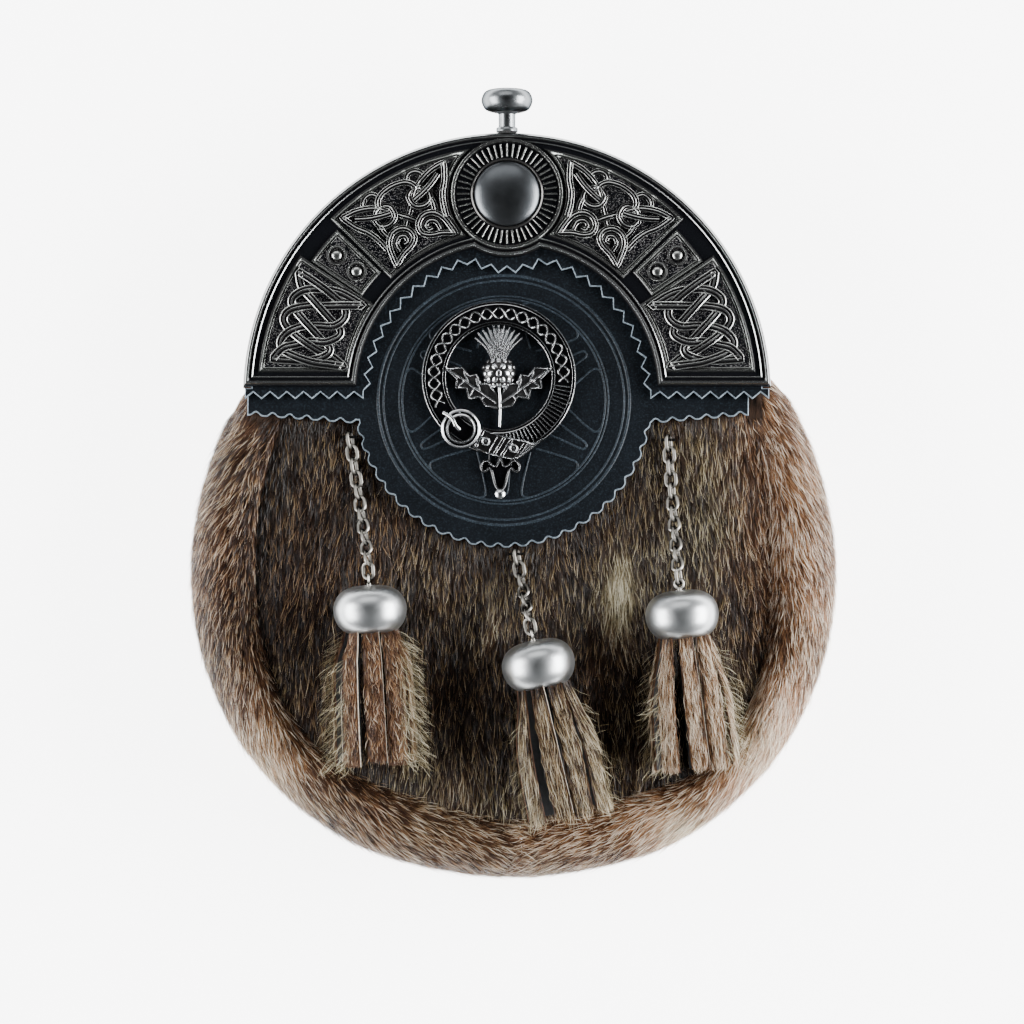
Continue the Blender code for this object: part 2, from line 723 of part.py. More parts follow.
def badge():
    """A buckled strap round a thistle, with a leaved drop below, in one casting."""
    level = BADGE_LOW
    strap = turned("strap", [(STRAP_OUTER - 0.2, 1.9), (STRAP_OUTER, 1.5), (STRAP_OUTER, 0.0),
                             (STRAP_INNER, 0.0), (STRAP_INNER, 1.6), (STRAP_INNER + 0.9, 1.8),
                             (STRAP_INNER + 1.1, 1.2), (STRAP_OUTER - 1.1, 1.2)], 22)
    strap.location = (BADGE_X, BADGE_Y, level)
    buckle = turned("buckle", [(4.6, 3.0), (5.3, 2.5), (5.3, 0.6), (3.4, 0.6), (3.4, 2.5)], 12)
    buckle.location = (BUCKLE_X, BUCKLE_Y, level)
    tail = (arc(BADGE_X - 1.0, BADGE_Y + 9.0, 29.2, -116.0, -76.0, 5)
            + [(9.0, -12.6), (5.6, -13.4)]
            + arc(BADGE_X - 1.0, BADGE_Y + 9.0, 24.6, -72.0, -118.0, 5))
    tail = prism("tail", [tail], level + 0.2, level + 2.3)
    drop = list(DROP) + [(-x, y) for x, y in DROP[-2:0:-1]]
    drop = prism("drop", [shifted(drop, -1.9, -15.6)], level + 0.3, level + 1.7)
    bulb = turned("bulb", [(0.0, 3.6), (2.6, 3.1), (4.3, 1.9), (4.9, 0.7), (4.4, 0.1),
                           (0.0, 0.1)], 12)
    bulb.location = (BADGE_X, BADGE_Y + 1.4, level)
    tuft = prism("tuft", [shifted(TUFT, BADGE_X, BADGE_Y)], level + 0.25, level + 2.2)
    leaves = [prism("leaf", [shifted(side, BADGE_X, BADGE_Y)], level + 0.2, level + 1.4)
              for side in (LEAF, [(-x, y) for x, y in LEAF])]
    stem = [(-0.9, -15.4), (0.9, -15.4), (0.7, -1.0), (-0.7, -1.0)]
    stem = prism("stem", [shifted(stem, BADGE_X, BADGE_Y)], level + 0.35, level + 1.9)
    body = fuse([bake(strap), bake(buckle), tail, drop, stem, *leaves, tuft, bake(bulb)])
    finish(body, "badge", "antique_metal", front)


def knob():
    """The turned button on the cantle's top."""
    button_low = KNOB_HIGH - BUTTON_THICK
    profile = [(0.0, KNOB_HIGH), (5.4, KNOB_HIGH), (6.8, KNOB_HIGH - 1.0),
               (BUTTON_RADIUS, KNOB_HIGH - 3.0), (6.6, button_low + 1.2),
               (5.0, button_low + 0.2), (KNOB_STEM + 0.5, button_low),
               (KNOB_STEM, button_low - 0.8), (KNOB_STEM, 1.3), (KNOB_COLLAR, 1.3),
               (KNOB_COLLAR, 0.0), (0.0, 0.0)]
    piece = turned("knob", profile, 14, axis="Y")
    piece.location = (0.0, CANTLE_RADIUS + GAP, KNOB_LEVEL)
    finish(bake(piece), "knob", "satin_steel", front)


# ---------------------------------------------------------------------------
# Chains and tassels
# ---------------------------------------------------------------------------
def rest_height(x, y, reach):
    """Highest point of the front under a round thing of that reach."""
    return max(front_height(x + reach * a, y + reach * b)
               for a in (-1.0, 0.0, 1.0) for b in (-1.0, 0.0, 1.0))


def tassel_frame(row):
    """The placing of a tassel: +Y runs up its axis, and its origin is the head's centre."""
    _, _, _, x, y, lean = row
    height = rest_height(x, y, HEAD_LONG / 2.0) + HEAD_RADIUS + GAP
    return (Matrix.Translation((x, y, height))
            @ Matrix.Rotation(math.radians(lean), 4, "Z")
            @ Matrix.Rotation(math.radians(TASSEL_PITCH), 4, "X"))


def tassel_head(row):
    """A hollow bun of steel, open below for the hide and bored above for the wire."""
    half = HEAD_LONG / 2.0
    profile = [(EYE_BORE, half), (5.4, half), (8.8, half - 1.8), (HEAD_RADIUS, 1.4),
               (10.1, -1.8), (8.9, -half + 0.8), (HEAD_OPENING, -half),
               (HEAD_OPENING - 0.1, -1.0), (5.6, 3.8), (EYE_BORE, 4.8)]
    head = turned("head", profile, 14, axis="Y")
    head.matrix_world = tassel_frame(row)
    finish(bake(head), f"tassel_{row[0]}_head", "satin_steel", centre)


def oval_point(share, wide, deep):
    """A point a share of the way round an oval, measured along it, and its direction."""
    steps = 72
    loop = [(wide * math.cos(math.radians(FULL_TURN * i / steps)),
             deep * math.sin(math.radians(FULL_TURN * i / steps))) for i in range(steps + 1)]
    return walk(loop, share * path_length(loop))


# Down a strip: distance below the head's middle, half width and half depth of the oval
# that the strips form, width of a strip
STRIP_ROWS = (
    (0.2, 5.6, 5.6, 4.1),
    (8.4, 6.3, 6.1, 4.6),
    (23.0, 9.4, 6.1, 5.6),
    (42.7, 10.2, 5.7, 5.9),
)


def hide_strip(index):
    """One strip of the fringe, from inside the head to its cut end."""
    rows = []
    share = (index + 0.5) / STRIPS
    for number, (down, wide, deep, width) in enumerate(STRIP_ROWS):
        (x, z), (along_x, along_z) = oval_point(share, wide, deep)
        if number == len(STRIP_ROWS) - 1:
            down += 0.8 * math.sin(2.4 * index)
        ring = []
        for side, skin_side in ((-1, -1), (1, -1), (1, 1), (-1, 1)):
            across, out = side * width / 2.0, skin_side * STRIP_THICK / 2.0
            ring.append((x + along_x * across + along_z * out, -down,
                         z + along_z * across - along_x * out))
        rows.append(ring)
    return skin("strip", rows, closed_rows=True, cap=True)


def tassel_skirt(row):
    """The fringe of hide on its core, with the wire eye that the chain holds."""
    half = HEAD_LONG / 2.0
    core = turned("core", [(0.0, 0.6), (5.7, 0.4), (5.7, -4.0), (0.0, -4.0)], 10, axis="Y")
    post = wire("post", [(0.0, -2.0, 0.0), (0.0, half + EYE_RISE - EYE_RADIUS + 0.1, 0.0)], 0.7)
    upright = len(link_distances(row)) % 2 == 0
    eye = []
    for turn in range(0, 360, 45):
        across, up = polar(0.0, half + EYE_RISE, EYE_RADIUS, turn)
        eye.append((0.0, up, across) if upright else (across, up, 0.0))
    eye = wire("eye", eye, WIRE / 2.0, closed=True)
    strips = [hide_strip(index) for index in range(STRIPS)]
    body = fuse([core, join("strips", strips), post, eye])
    body.matrix_world = tassel_frame(row)
    finish(bake(body), f"tassel_{row[0]}_skirt", "tassel_hide", centre)


def chain_route(row):
    """From the staple down onto the front, along it, and up to the tassel's eye."""
    _, x, y, *_ = row
    lift = GAP + LINK_WIDE / 2.0
    eye = HEAD_LONG / 2.0 + EYE_RISE
    end = tassel_frame(row) @ Vector((0.0, eye + LINK_LONG, 0.0))
    start = Vector((x, y, front_height(x, y) + STAPLE_RISE))
    route = []
    for share in spread(0.0, 1.0, 12):
        place = start.lerp(end, share)
        lying = front_height(place.x, place.y) + lift
        climb = max(0.0, share - CHAIN_LIES) / (1.0 - CHAIN_LIES)
        drop = max(0.0, 1.0 - share / 0.12)
        height = lying + (end.z - lying) * climb ** 1.5
        place.z = height + (start.z - height) * drop
        route.append(tuple(place))
    route.append(tuple(tassel_frame(row) @ Vector((0.0, eye, 0.0))))
    return route


def link_mesh():
    """One oval link of the cable chain."""
    radius = (LINK_WIDE - WIRE) / 2.0
    bpy.ops.mesh.primitive_torus_add(major_segments=10, minor_segments=5,
                                     major_radius=radius, minor_radius=WIRE / 2.0)
    link = bpy.context.object
    stretch = (LINK_LONG - LINK_WIDE) / 2.0
    for vert in link.data.vertices:
        if abs(vert.co.x) > 0.01 * radius:
            vert.co.x += math.copysign(stretch, vert.co.x)
    mesh = link.data.copy()
    bpy.data.objects.remove(link, do_unlink=True)
    return mesh


def link_distances(row):
    """Where the links' centres lie along a chain's route."""
    half = (LINK_LONG - WIRE) / 2.0
    first = half - WIRE - GAP
    last = path_length(chain_route(row)) - half - EYE_RADIUS + WIRE + GAP
    return spread(first, last, math.floor((last - first) / LINK_PITCH))


def chain(row):
    """A cable chain, its links a quarter turn apart and touching, the first one on edge."""
    name = row[0]
    route = chain_route(row)
    pattern = link_mesh()
    links = []
    for i, distance in enumerate(link_distances(row)):
        place, aim = walk(route, distance)
        link = mesh_object("link", pattern.copy())
        along = Vector(aim).to_track_quat("X", "Z").to_matrix().to_4x4()
        roll = Matrix.Rotation(math.radians(LINK_ROLL + 90.0 * ((i + 1) % 2)), 4, "X")
        link.matrix_world = Matrix.Translation(place) @ along @ roll
        links.append(bake(link))
    finish(fuse(links), f"chain_{name}", "antique_metal", centre)


def staple(row):
    """The bent wire that holds a chain to the front."""
    name, x, y, *_ = row
    foot = rest_height(x, y, 1.6) + GAP
    half, rise = 1.7, STAPLE_RISE
    bend = [(x - half, y, foot), (x - half, y, foot + rise * 0.6), (x - 0.8, y, foot + rise),
            (x + 0.8, y, foot + rise), (x + half, y, foot + rise * 0.6), (x + half, y, foot)]
    finish(wire("staple", bend, WIRE / 2.0), f"staple_{name}", "antique_metal", centre)


def main():
    """Build the pouch, piece by piece."""
    gusset("gusset_left", -SHOULDER_TURN, SEAM_TURN - SEAM_PLAY)
    gusset("gusset_right", SEAM_TURN + SEAM_PLAY, SHOULDER_TURN)
    front_panel()
    back_panel()
    belt_loop("belt_loop_left", -LOOP_X)
    belt_loop("belt_loop_right", LOOP_X)
    cantle()
    cantle_backing()
    flap()
    badge()
    knob()
    for row in TASSEL_ROWS:
        staple(row)
        chain(row)
        tassel_head(row)
        tassel_skirt(row)


clear_scene()
pouch = new_collection("sporran_pouch")
bench = new_collection("bench")
finishes = {row[0]: make_finish(*row) for row in FINISH_ROWS}
centre = make_guide("cantle_centre", None, (-BODY_X, ORIGIN_UP, 0.0))
front = make_guide("front_plane", centre, (0.0, 0.0, FRONT_LEVEL), (-FRONT_FALL, 0.0, 0.0))
main()
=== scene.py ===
"""Looks of a dress sporran pouch that lies on its back.

Every piece is modelled in millimetres. The pouch's body is drawn about the centre of the
cantle's arc, and what lies on its sloping front is drawn flat and then laid on that slope.
A finished piece is turned to metres in the part's own frame, with its object at the origin.
"""

import logging
import math
from dataclasses import dataclass, field
from enum import Enum
from functools import partial
from typing import Any, Sequence

import bpy
import numpy as np
from mathutils import Matrix, Vector


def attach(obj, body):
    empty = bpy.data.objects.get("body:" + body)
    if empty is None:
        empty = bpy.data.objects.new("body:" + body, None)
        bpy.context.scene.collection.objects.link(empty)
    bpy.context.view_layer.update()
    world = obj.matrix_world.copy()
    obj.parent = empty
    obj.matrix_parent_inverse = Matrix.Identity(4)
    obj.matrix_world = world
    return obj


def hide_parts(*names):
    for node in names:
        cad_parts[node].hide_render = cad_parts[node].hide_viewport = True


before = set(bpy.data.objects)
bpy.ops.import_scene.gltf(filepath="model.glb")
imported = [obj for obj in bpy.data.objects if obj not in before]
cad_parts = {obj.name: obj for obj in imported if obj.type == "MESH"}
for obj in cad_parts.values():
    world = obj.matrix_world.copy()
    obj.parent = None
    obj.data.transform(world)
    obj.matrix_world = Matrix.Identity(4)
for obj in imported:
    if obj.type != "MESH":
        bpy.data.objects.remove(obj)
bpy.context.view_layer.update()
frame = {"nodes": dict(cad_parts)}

log = logging.getLogger("sporran")
logging.basicConfig(level=logging.INFO, format="%(message)s")

MM = 0.001
Row = tuple[float, ...]
Rows = tuple[Row, ...]
Path = list[Row]
Array = np.ndarray
Piece = bpy.types.Object
Node = bpy.types.Node
Tree = bpy.types.NodeTree
Socket = bpy.types.NodeSocket
Material = bpy.types.Material

# Where the cantle's arc has its centre, and how the front slopes
CENTRE_X, CENTRE_Y, FRONT_LEVEL = -1.8, 23.53, 27.0
FRONT_FALL = math.atan(8.0 / 72.0)
BODY = Matrix.Translation((CENTRE_X, CENTRE_Y, 0.0))
FRONT = Matrix.Translation((CENTRE_X, CENTRE_Y, FRONT_LEVEL)) @ Matrix.Rotation(
    -FRONT_FALL, 4, "X")
MEDAL_Y = 56.3


# ---- Materials ----
def linear(code: str) -> tuple[float, float, float, float]:
    """Turn an sRGB hex colour to linear light.

    Args:
        code: Six hex digits.

    Returns:
        The colour as red, green, blue and an alpha of one.
    """
    channels = [int(code[i:i + 2], 16) / 255.0 for i in (0, 2, 4)]
    light = [c / 12.92 if c <= 0.04045 else ((c + 0.055) / 1.055) ** 2.4 for c in channels]
    return (*light, 1.0)


def per_metre(size_mm: float) -> float:
    """Scale of a pattern whose marks are so many millimetres wide."""
    return 1.0 / (size_mm * MM)


def feed(tree: Tree, node: Node, inputs: dict[Any, Any]) -> None:
    """Set a node's inputs.

    Args:
        tree: The node tree.
        node: The node.
        inputs: A value or an output for each input, by name or number.
    """
    for name, value in inputs.items():
        if isinstance(value, Socket):
            tree.links.new(value, node.inputs[name])
        else:
            node.inputs[name].default_value = value


def add_node(tree: Tree, kind: str, inputs: dict[Any, Any] | None = None, **settings: Any
             ) -> Node:
    """Add one node with its settings, values and links.

    Args:
        tree: The node tree.
        kind: The node's type, without the word that all types start with.
        inputs: A value or an output for each input, by name or number.
        settings: Properties of the node.

    Returns:
        The new node.
    """
    node = tree.nodes.new(f"ShaderNode{kind}")
    for name, value in settings.items():
        setattr(node, name, value)
    feed(tree, node, inputs or {})
    return node


def add_ramp(tree: Tree, factor: Socket, stops: Sequence[tuple[float, str]]) -> Socket:
    """Run a factor through stops of colour.

    Args:
        tree: The node tree.
        factor: What drives the ramp.
        stops: Place and hex colour of each stop, in order.

    Returns:
        The ramp's colour.
    """
    ramp = add_node(tree, "ValToRGB", {"Fac": factor})
    points = ramp.color_ramp.elements
    while len(points) < len(stops):
        points.new(1.0)
    for point, (place, code) in zip(points, stops):
        point.position = place
        point.color = linear(code)
    return ramp.outputs["Color"]


def blank(name: str) -> tuple[Material, Tree, Node, Socket]:
    """Start a Principled material.

    Args:
        name: The material's name.

    Returns:
        The material, its tree, its shader and the object's own coordinates.
    """
    material = bpy.data.materials.new(name)
    material.use_nodes = True
    tree = material.node_tree
    where = add_node(tree, "TexCoord")
    return material, tree, tree.nodes["Principled BSDF"], where.outputs["Object"]


@dataclass(frozen=True)
class Casting:
    """Zinc alloy, cast in a mould and blackened, then rubbed back where the buff reaches.

    To the eye it is glossy black in the hollows and plain satin metal on the high places,
    a little cloudy. The attribute "rub" holds how far the black is off.
    """
    name: str
    hollow: str = "0D0E11"
    rubbed: str = "B4B1AA"
    gloss: float = 0.16         # roughness of the black
    satin: float = 0.27         # roughness of the bare metal
    patina_mm: float = 2.0
    mottle: float = 0.4         # how far the patina comes and goes
    stipple_mm: float = 0.0     # pitch of the punch marks, drawn twice as coarse as real ones

    def material(self) -> Material:
        """Build the finish from the painted wear, broken up by the patina.

        Returns:
            The material.
        """
        material, tree, shader, where = blank(self.name)
        wear = add_node(tree, "Attribute", attribute_name="rub")
        patina = add_node(tree, "TexNoise", {
            "Vector": where, "Scale": per_metre(self.patina_mm), "Detail": 3.0})
        uneven = add_node(tree, "Math", {
            0: patina.outputs["Fac"], 1: self.mottle, 2: -self.mottle / 2.0},
            operation="MULTIPLY_ADD").outputs["Value"]
        if self.stipple_mm:
            punches = add_node(tree, "TexVoronoi", {
                "Vector": where, "Scale": per_metre(self.stipple_mm)})
            beads = add_node(tree, "MapRange", {
                "Value": punches.outputs["Distance"], "From Min": 0.12, "From Max": 0.48,
                "To Min": 0.58, "To Max": 0.0}).outputs["Result"]
            bump = add_node(tree, "Bump", {
                "Height": beads, "Strength": 1.0, "Distance": 0.3 * MM})
            feed(tree, shader, {"Normal": bump.outputs["Normal"]})
            uneven = add_node(tree, "Math", {0: uneven, 1: beads},
                              operation="ADD").outputs["Value"]
        rub = add_node(tree, "Math", {0: wear.outputs["Fac"], 1: uneven}, operation="ADD",
                       use_clamp=True).outputs["Value"]
        feed(tree, shader, {"Base Color": add_ramp(tree, rub, (
            (0.1, self.hollow), (0.45, "3E3D3C"), (0.85, self.rubbed)))})
        for socket, low, high in (("Roughness", self.gloss, self.satin), ("Metallic", 0.15, 1.0)):
            mapped = add_node(tree, "MapRange", {
                "Value": rub, "From Max": 0.6, "To Min": low, "To Max": high})
            feed(tree, shader, {socket: mapped.outputs["Result"]})
        return material


@dataclass(frozen=True)
class SatinSteel:
    """Steel that was turned, drawn or pressed, and tumbled to a satin.

    To the eye it has soft, slightly cloudy highlights. Faces that turn away from up can be
    painted darker as shade, and a low rim takes the shine off the outline.
    """
    name: str
    colour: str = "A6A5A2"
    roughness: float = 0.3
    grit_mm: float = 0.35       # tumbling marks, drawn coarser than they are so that they show
    cloud_mm: float = 4.0
    # colour painted as shade on faces that turn away from up, or none
    painted_side_shade: str = ""
    rim: float = 1.0

    def material(self) -> Material:
        """Build the finish with its fine tumbling marks.

        Returns:
            The material.
        """
        material, tree, shader, where = blank(self.name)
        grit = add_node(tree, "TexNoise", {
            "Vector": where, "Scale": per_metre(self.grit_mm), "Detail": 4.0})
        cloud = add_node(tree, "TexNoise", {
            "Vector": where, "Scale": per_metre(self.cloud_mm), "Detail": 2.0})
        rough = add_node(tree, "MapRange", {
            "Value": cloud.outputs["Fac"], "To Min": self.roughness * 0.8,
            "To Max": self.roughness * 1.25})
        bump = add_node(tree, "Bump", {
            "Height": grit.outputs["Fac"], "Strength": 0.3, "Distance": 0.05 * MM})
        feed(tree, shader, {
            "Base Color": linear(self.colour), "Metallic": 1.0,
            "Specular Tint": (self.rim, self.rim, self.rim, 1.0),
            "Roughness": rough.outputs["Result"], "Normal": bump.outputs["Normal"]})
        # Painted shade: the colour darkens towards the painted one as a face turns away from up
        if self.painted_side_shade:
            turned = add_node(tree, "SeparateXYZ", {
                "Vector": add_node(tree, "NewGeometry").outputs["Normal"]})
            feed(tree, shader, {"Base Color": add_ramp(tree, turned.outputs["Z"], (
                (0.45, self.painted_side_shade), (1.0, self.colour)))})
        return material


@dataclass(frozen=True)
class Leather:
    """Chrome-tanned cowhide, pigmented, plated and waxed.

    To the eye it is blue-black with a soft shine and pores; pale specks are painted highlights.
    """
    name: str
    colour: str = "07090C"
    worn: str = "0D1014"
    speck: str = "1D242A"
    roughness: float = 0.36
    pore_mm: float = 0.55       # drawn about twice as coarse as the real grain, to show
    cloud_mm: float = 9.0
    depth_mm: float = 0.08

    def material(self) -> Material:
        """Build the finish with its pores, its specks and its slight unevenness.

        Returns:
            The material.
        """
        material, tree, shader, where = blank(self.name)
        pores = add_node(tree, "TexVoronoi", {
            "Vector": where, "Scale": per_metre(self.pore_mm), "Smoothness": 0.5},
            feature="SMOOTH_F1")
        cloud = add_node(tree, "TexNoise", {
            "Vector": where, "Scale": per_metre(self.cloud_mm), "Detail": 5.0})
        grain = add_node(tree, "TexNoise", {
            "Vector": where, "Scale": per_metre(self.pore_mm * 0.7), "Detail": 2.0})
        # Painted highlights: fine pale specks mixed into the colour, standing for light caught on
        # the grain
        specks = add_node(tree, "MapRange", {
            "Value": grain.outputs["Fac"], "From Min": 0.5, "From Max": 0.74})
        tone = add_ramp(tree, cloud.outputs["Fac"], ((0.3, self.colour), (0.75, self.worn)))
        speckled = add_node(tree, "Mix", {
            "Factor": specks.outputs["Result"], "A": tone, "B": linear(self.speck)},
            data_type="RGBA")
        bump = add_node(tree, "Bump", {
            "Height": pores.outputs["Distance"], "Strength": 0.5,
            "Distance": self.depth_mm * MM})
        feed(tree, shader, {
            "Base Color": speckled.outputs["Result"], "Roughness": self.roughness,
            "Specular IOR Level": 0.16, "Normal": bump.outputs["Normal"]})
        return material


@dataclass(frozen=True)
class Fibres:
    """Fibre with no finish on it: the raw side or edge of cut hide, or dense short underwool.

    To the eye it is dry and dull, mottled or, along a nap, drawn out into streaks.
    """
    name: str
    dark: str
    light: str
    spread: Row = (0.35, 0.7)   # where the ramp is dark and where it is light
    drawn: float = 1.0          # size of a mark across the nap as a share of that along it
    fibre_mm: float = 0.6       # bundles of fibre, since one fibre is too fine to show
    detail: float = 6.0
    relief: Row = (0.5, 0.2)    # strength of the bumps, and their height in millimetres
    roughness: float = 0.8
    shine: float = 0.5

    def material(self) -> Material:
        """Build the finish with its fibres.

        Returns:
            The material.
        """
        material, tree, shader, where = blank(self.name)
        nap = add_node(tree, "Mapping", {"Vector": where, "Scale": (1, self.drawn, 1)})
        fibre = add_node(tree, "TexNoise", {
            "Vector": nap.outputs["Vector"], "Scale": per_metre(self.fibre_mm),
            "Detail": self.detail})
        bump = add_node(tree, "Bump", {
            "Height": fibre.outputs["Fac"], "Strength": self.relief[0],
            "Distance": self.relief[1] * MM})
        feed(tree, shader, {
            "Base Color": add_ramp(tree, fibre.outputs["Fac"], (
                (self.spread[0], self.dark), (self.spread[1], self.light))),
            "Roughness": self.roughness, "Specular IOR Level": self.shine,
            "Normal": bump.outputs["Normal"]})
        return material


@dataclass(frozen=True)
class Fur:
    """Hair on dressed hide: glossy at its tip, with its colour painted darker towards the root as
    shade.

    The attribute "coat" holds, for each hair, its tone, the way along it and its warmth.
    """
    name: str
    roughness: float = 0.25
    cool: tuple[tuple[float, str], ...] = (
        (0.0, "080604"), (0.3, "1A1511"), (0.55, "43382D"), (0.8, "9E8F6A"), (1.0, "F1E6C6"))
    warm: tuple[tuple[float, str], ...] = (
        (0.0, "0A0705"), (0.3, "27180F"), (0.55, "583B29"), (0.8, "B8875F"), (1.0, "F7E3CD"))

    def material(self) -> Material:
        """Build the finish from the hair's own tone and warmth.

        Returns:
            The material.
        """
        material, tree, shader, _ = blank(self.name)
        coat = add_node(tree, "Attribute", attribute_name="coat")
        part = add_node(tree, "SeparateColor", {"Color": coat.outputs["Color"]})
        tone, along, warmth = (part.outputs[name] for name in ("Red", "Green", "Blue"))
        blend = add_node(tree, "Mix", {
            "Factor": warmth, "A": add_ramp(tree, tone, self.cool),
            "B": add_ramp(tree, tone, self.warm)}, data_type="RGBA")
        # Painted shade: each hair's colour darkens towards its root, where the hairs over it shade
        # it
        shade = add_ramp(tree, along, ((0.0, "4C4C4C"), (0.45, "C4C4C4"), (1.0, "FFFFFF")))
        lit = add_node(tree, "Mix", {
            "Factor": 1.0, "A": blend.outputs["Result"], "B": shade},
            data_type="RGBA", blend_type="MULTIPLY")
        feed(tree, shader, {
            "Base Color": lit.outputs["Result"], "Roughness": self.roughness,
            "Specular IOR Level": 0.13})
        return material


# Streaks of dark wool, each a lock of many fibres
Underwool = partial(Fibres, spread=(0.3, 0.75), drawn=0.15, fibre_mm=0.8, detail=4.0,
                    relief=(0.8, 0.5), roughness=0.95, shine=0.15)


class Finish(Enum):
    """The finishes of the pouch, each built once."""
    # The arch's plate and rims, where little black is off: dark, with light on the edges
    CANTLE = Casting("blackened_cast_zinc", rubbed="9DA0A0")
    # Raised strands and frames that the buff reached: bright lines with black between
    KNOTWORK = Casting("rubbed_cast_zinc", rubbed="B6B8B6", satin=0.25)
    # Punched floors: a fine sparkle of rubbed grains in black
    GROUND = Casting("punched_cast_zinc", rubbed="A9ABA9", stipple_mm=0.5)
    # Polished and darkly plated: a soft mirror that stays dark in its middle
    DOME = SatinSteel("polished_dark_plate", colour="56595C", roughness=0.3)
    # The brightest of the castings, nearly white on its high places
    BADGE = Casting("bright_cast_zinc", hollow="08080A", rubbed="CFD1D3", satin=0.22,
                    mottle=0.2)
    # Pressed and tumbled: broad soft highlights at both sides
    STEEL = SatinSteel("tumbled_stainless_steel", colour="B9BCBD", roughness=0.33)
    # Turned and polished: greyer, with a crisp dark outline
    KNOB = SatinSteel("turned_stainless_steel", colour="777A7C", roughness=0.28, rim=0.05)
    # Drawn wire, with its faces that turn away from up painted brown-black as shade
    CHAIN = SatinSteel("drawn_wire_painted_side_shade", colour="B5B1A9", roughness=0.42, painted_side_shade="171513",
                       rim=0.1)
    # Drawn wire, painted near-black as the shade of the hole in the hair where the chain goes in,
    # so it all but vanishes in the hair
    STAPLE = SatinSteel("staple_wire_painted_shade", colour="1B1A19", roughness=0.35)
    # Plated smooth: a faint even sheen
    FLAP = Leather("smooth_cowhide")
    # Pressed lines, burnished paler by the hot tool
    EMBOSS = Leather("embossed_cowhide", colour="171C21", worn="242B31", speck="3C464F")
    # Printed with a coarser pebble that breaks up its shine
    BACKING = Leather("pebbled_cowhide", pore_mm=0.8, depth_mm=0.14)
    # Unwaxed and duller, since no one sees it
    BACK = Leather("plain_cowhide", roughness=0.48)
    # Pinked edge, where the grey-blue of the tanning shows as a pale line
    EDGE = Fibres("cowhide_cut_edge", "4A5761", "8C99A3")
    # Cut edge of the tassels' strips, a cream line
    CREAM = Fibres("fur_hide_cut_edge", "7D7264", "C2B8A8")
    # Back of the strips and the core inside them, painted nearly black as the shade inside the
    # tassel
    FLESH = Fibres("fur_hide_flesh_side_painted_shade", "050506", "0E0F11")
    # Combed hair, with pale guard hairs over dark
    HAIR = Fur("groomed_fur")
    # Wool that shows as brown between the hairs, and the tassels' lighter wool
    WOOL = Underwool("fur_underwool", "150E0A", "3A2A20")
    TASSEL_WOOL = Underwool("tassel_underwool", "2C1D15", "553E2F")


MATERIALS: dict[Finish, Material] = {}


def dress(piece: Piece, *finishes: Finish) -> None:
    """Give a piece its finishes, one slot each.

    Args:
        piece: The piece.
        finishes: One finish for each slot, in order.
    """
    for kind in finishes:
        if kind not in MATERIALS:
            MATERIALS[kind] = kind.value.material()
    slots = [MATERIALS[kind] for kind in finishes]
    if len(piece.data.materials) == len(slots):
        for number, material in enumerate(slots):
            piece.data.materials[number] = material
        return
    if piece.data.materials:
        piece.data.materials.clear()
    for material in slots:
        piece.data.materials.append(material)


# ---- Modelling ----
def only(piece: Piece) -> None:
    """Select one piece alone and make it active.

    Args:
        piece: The piece.
    """
    bpy.ops.object.select_all(action="DESELECT")
    piece.select_set(True)
    bpy.context.view_layer.objects.active = piece


def shaped_grid(name: str, points: Array) -> Piece:
    """Add a grid and set each of its corners in place.

    Args:
        name: The object's name.
        points: Rows and columns of places.

    Returns:
        The shaped grid, whose normals follow the columns crossed with the rows.
    """
    rows, columns = points.shape[:2]
    bpy.ops.object.select_all(action="DESELECT")
    bpy.ops.mesh.primitive_grid_add(x_subdivisions=columns - 1, y_subdivisions=rows - 1, size=1.0)
    piece = bpy.context.object
    piece.name = piece.data.name = name
    piece.data.vertices.foreach_set("co", np.ascontiguousarray(points, np.float32).ravel())
    piece.data.update()
    return piece


def painted(piece: Piece, wear: Array) -> Piece:
    """Write how far the blackening is rubbed off at each corner of a casting.

    Args:
        piece: The casting.
        wear: From 0, black, to 1, bright, for each corner.

    Returns:
        The same piece.
    """
    layer = piece.data.color_attributes.new("rub", "FLOAT_COLOR", "POINT")
    colour = np.ones((len(wear), 4), np.float32)
    colour[:, :3] = np.clip(wear, 0.0, 1.0)[:, None]
    layer.data.foreach_set("color", colour.ravel())
    return piece


def worn(piece: Piece, low: float, high: float) -> Piece:
    """Rub a casting back by height.

    Args:
        piece: The casting.
        low: Up to this height all its black stays on.
        high: From this height on it is bright.

    Returns:
        The same piece.
    """
    places = np.empty(3 * len(piece.data.vertices), np.float32)
    piece.data.vertices.foreach_get("co", places)
    return painted(piece, (places[2::3] - low) / (high - low))


def moved(piece: Piece, x: float, y: float, z: float) -> Piece:
    """Shift a piece's mesh and hand it back."""
    piece.data.transform(Matrix.Translation((x, y, z)))
    return piece


def outward(piece: Piece, weld: float = 0.001, capped: bool = False) -> Piece:
    """Merge a shell's doubles, close it and turn its faces outwards.

    Args:
        piece: A shell, in millimetres.
        weld: Points nearer than this become one.
        capped: True to close the open ends.

    Returns:
        The same piece.
    """
    only(piece)
    bpy.ops.object.mode_set(mode="EDIT")
    bpy.ops.mesh.select_all(action="SELECT")
    bpy.ops.mesh.remove_doubles(threshold=weld)
    if capped:
        bpy.ops.mesh.fill_holes(sides=0)
        bpy.ops.mesh.select_all(action="SELECT")
    bpy.ops.mesh.normals_make_consistent(inside=False)
    bpy.ops.object.mode_set(mode="OBJECT")
    return piece


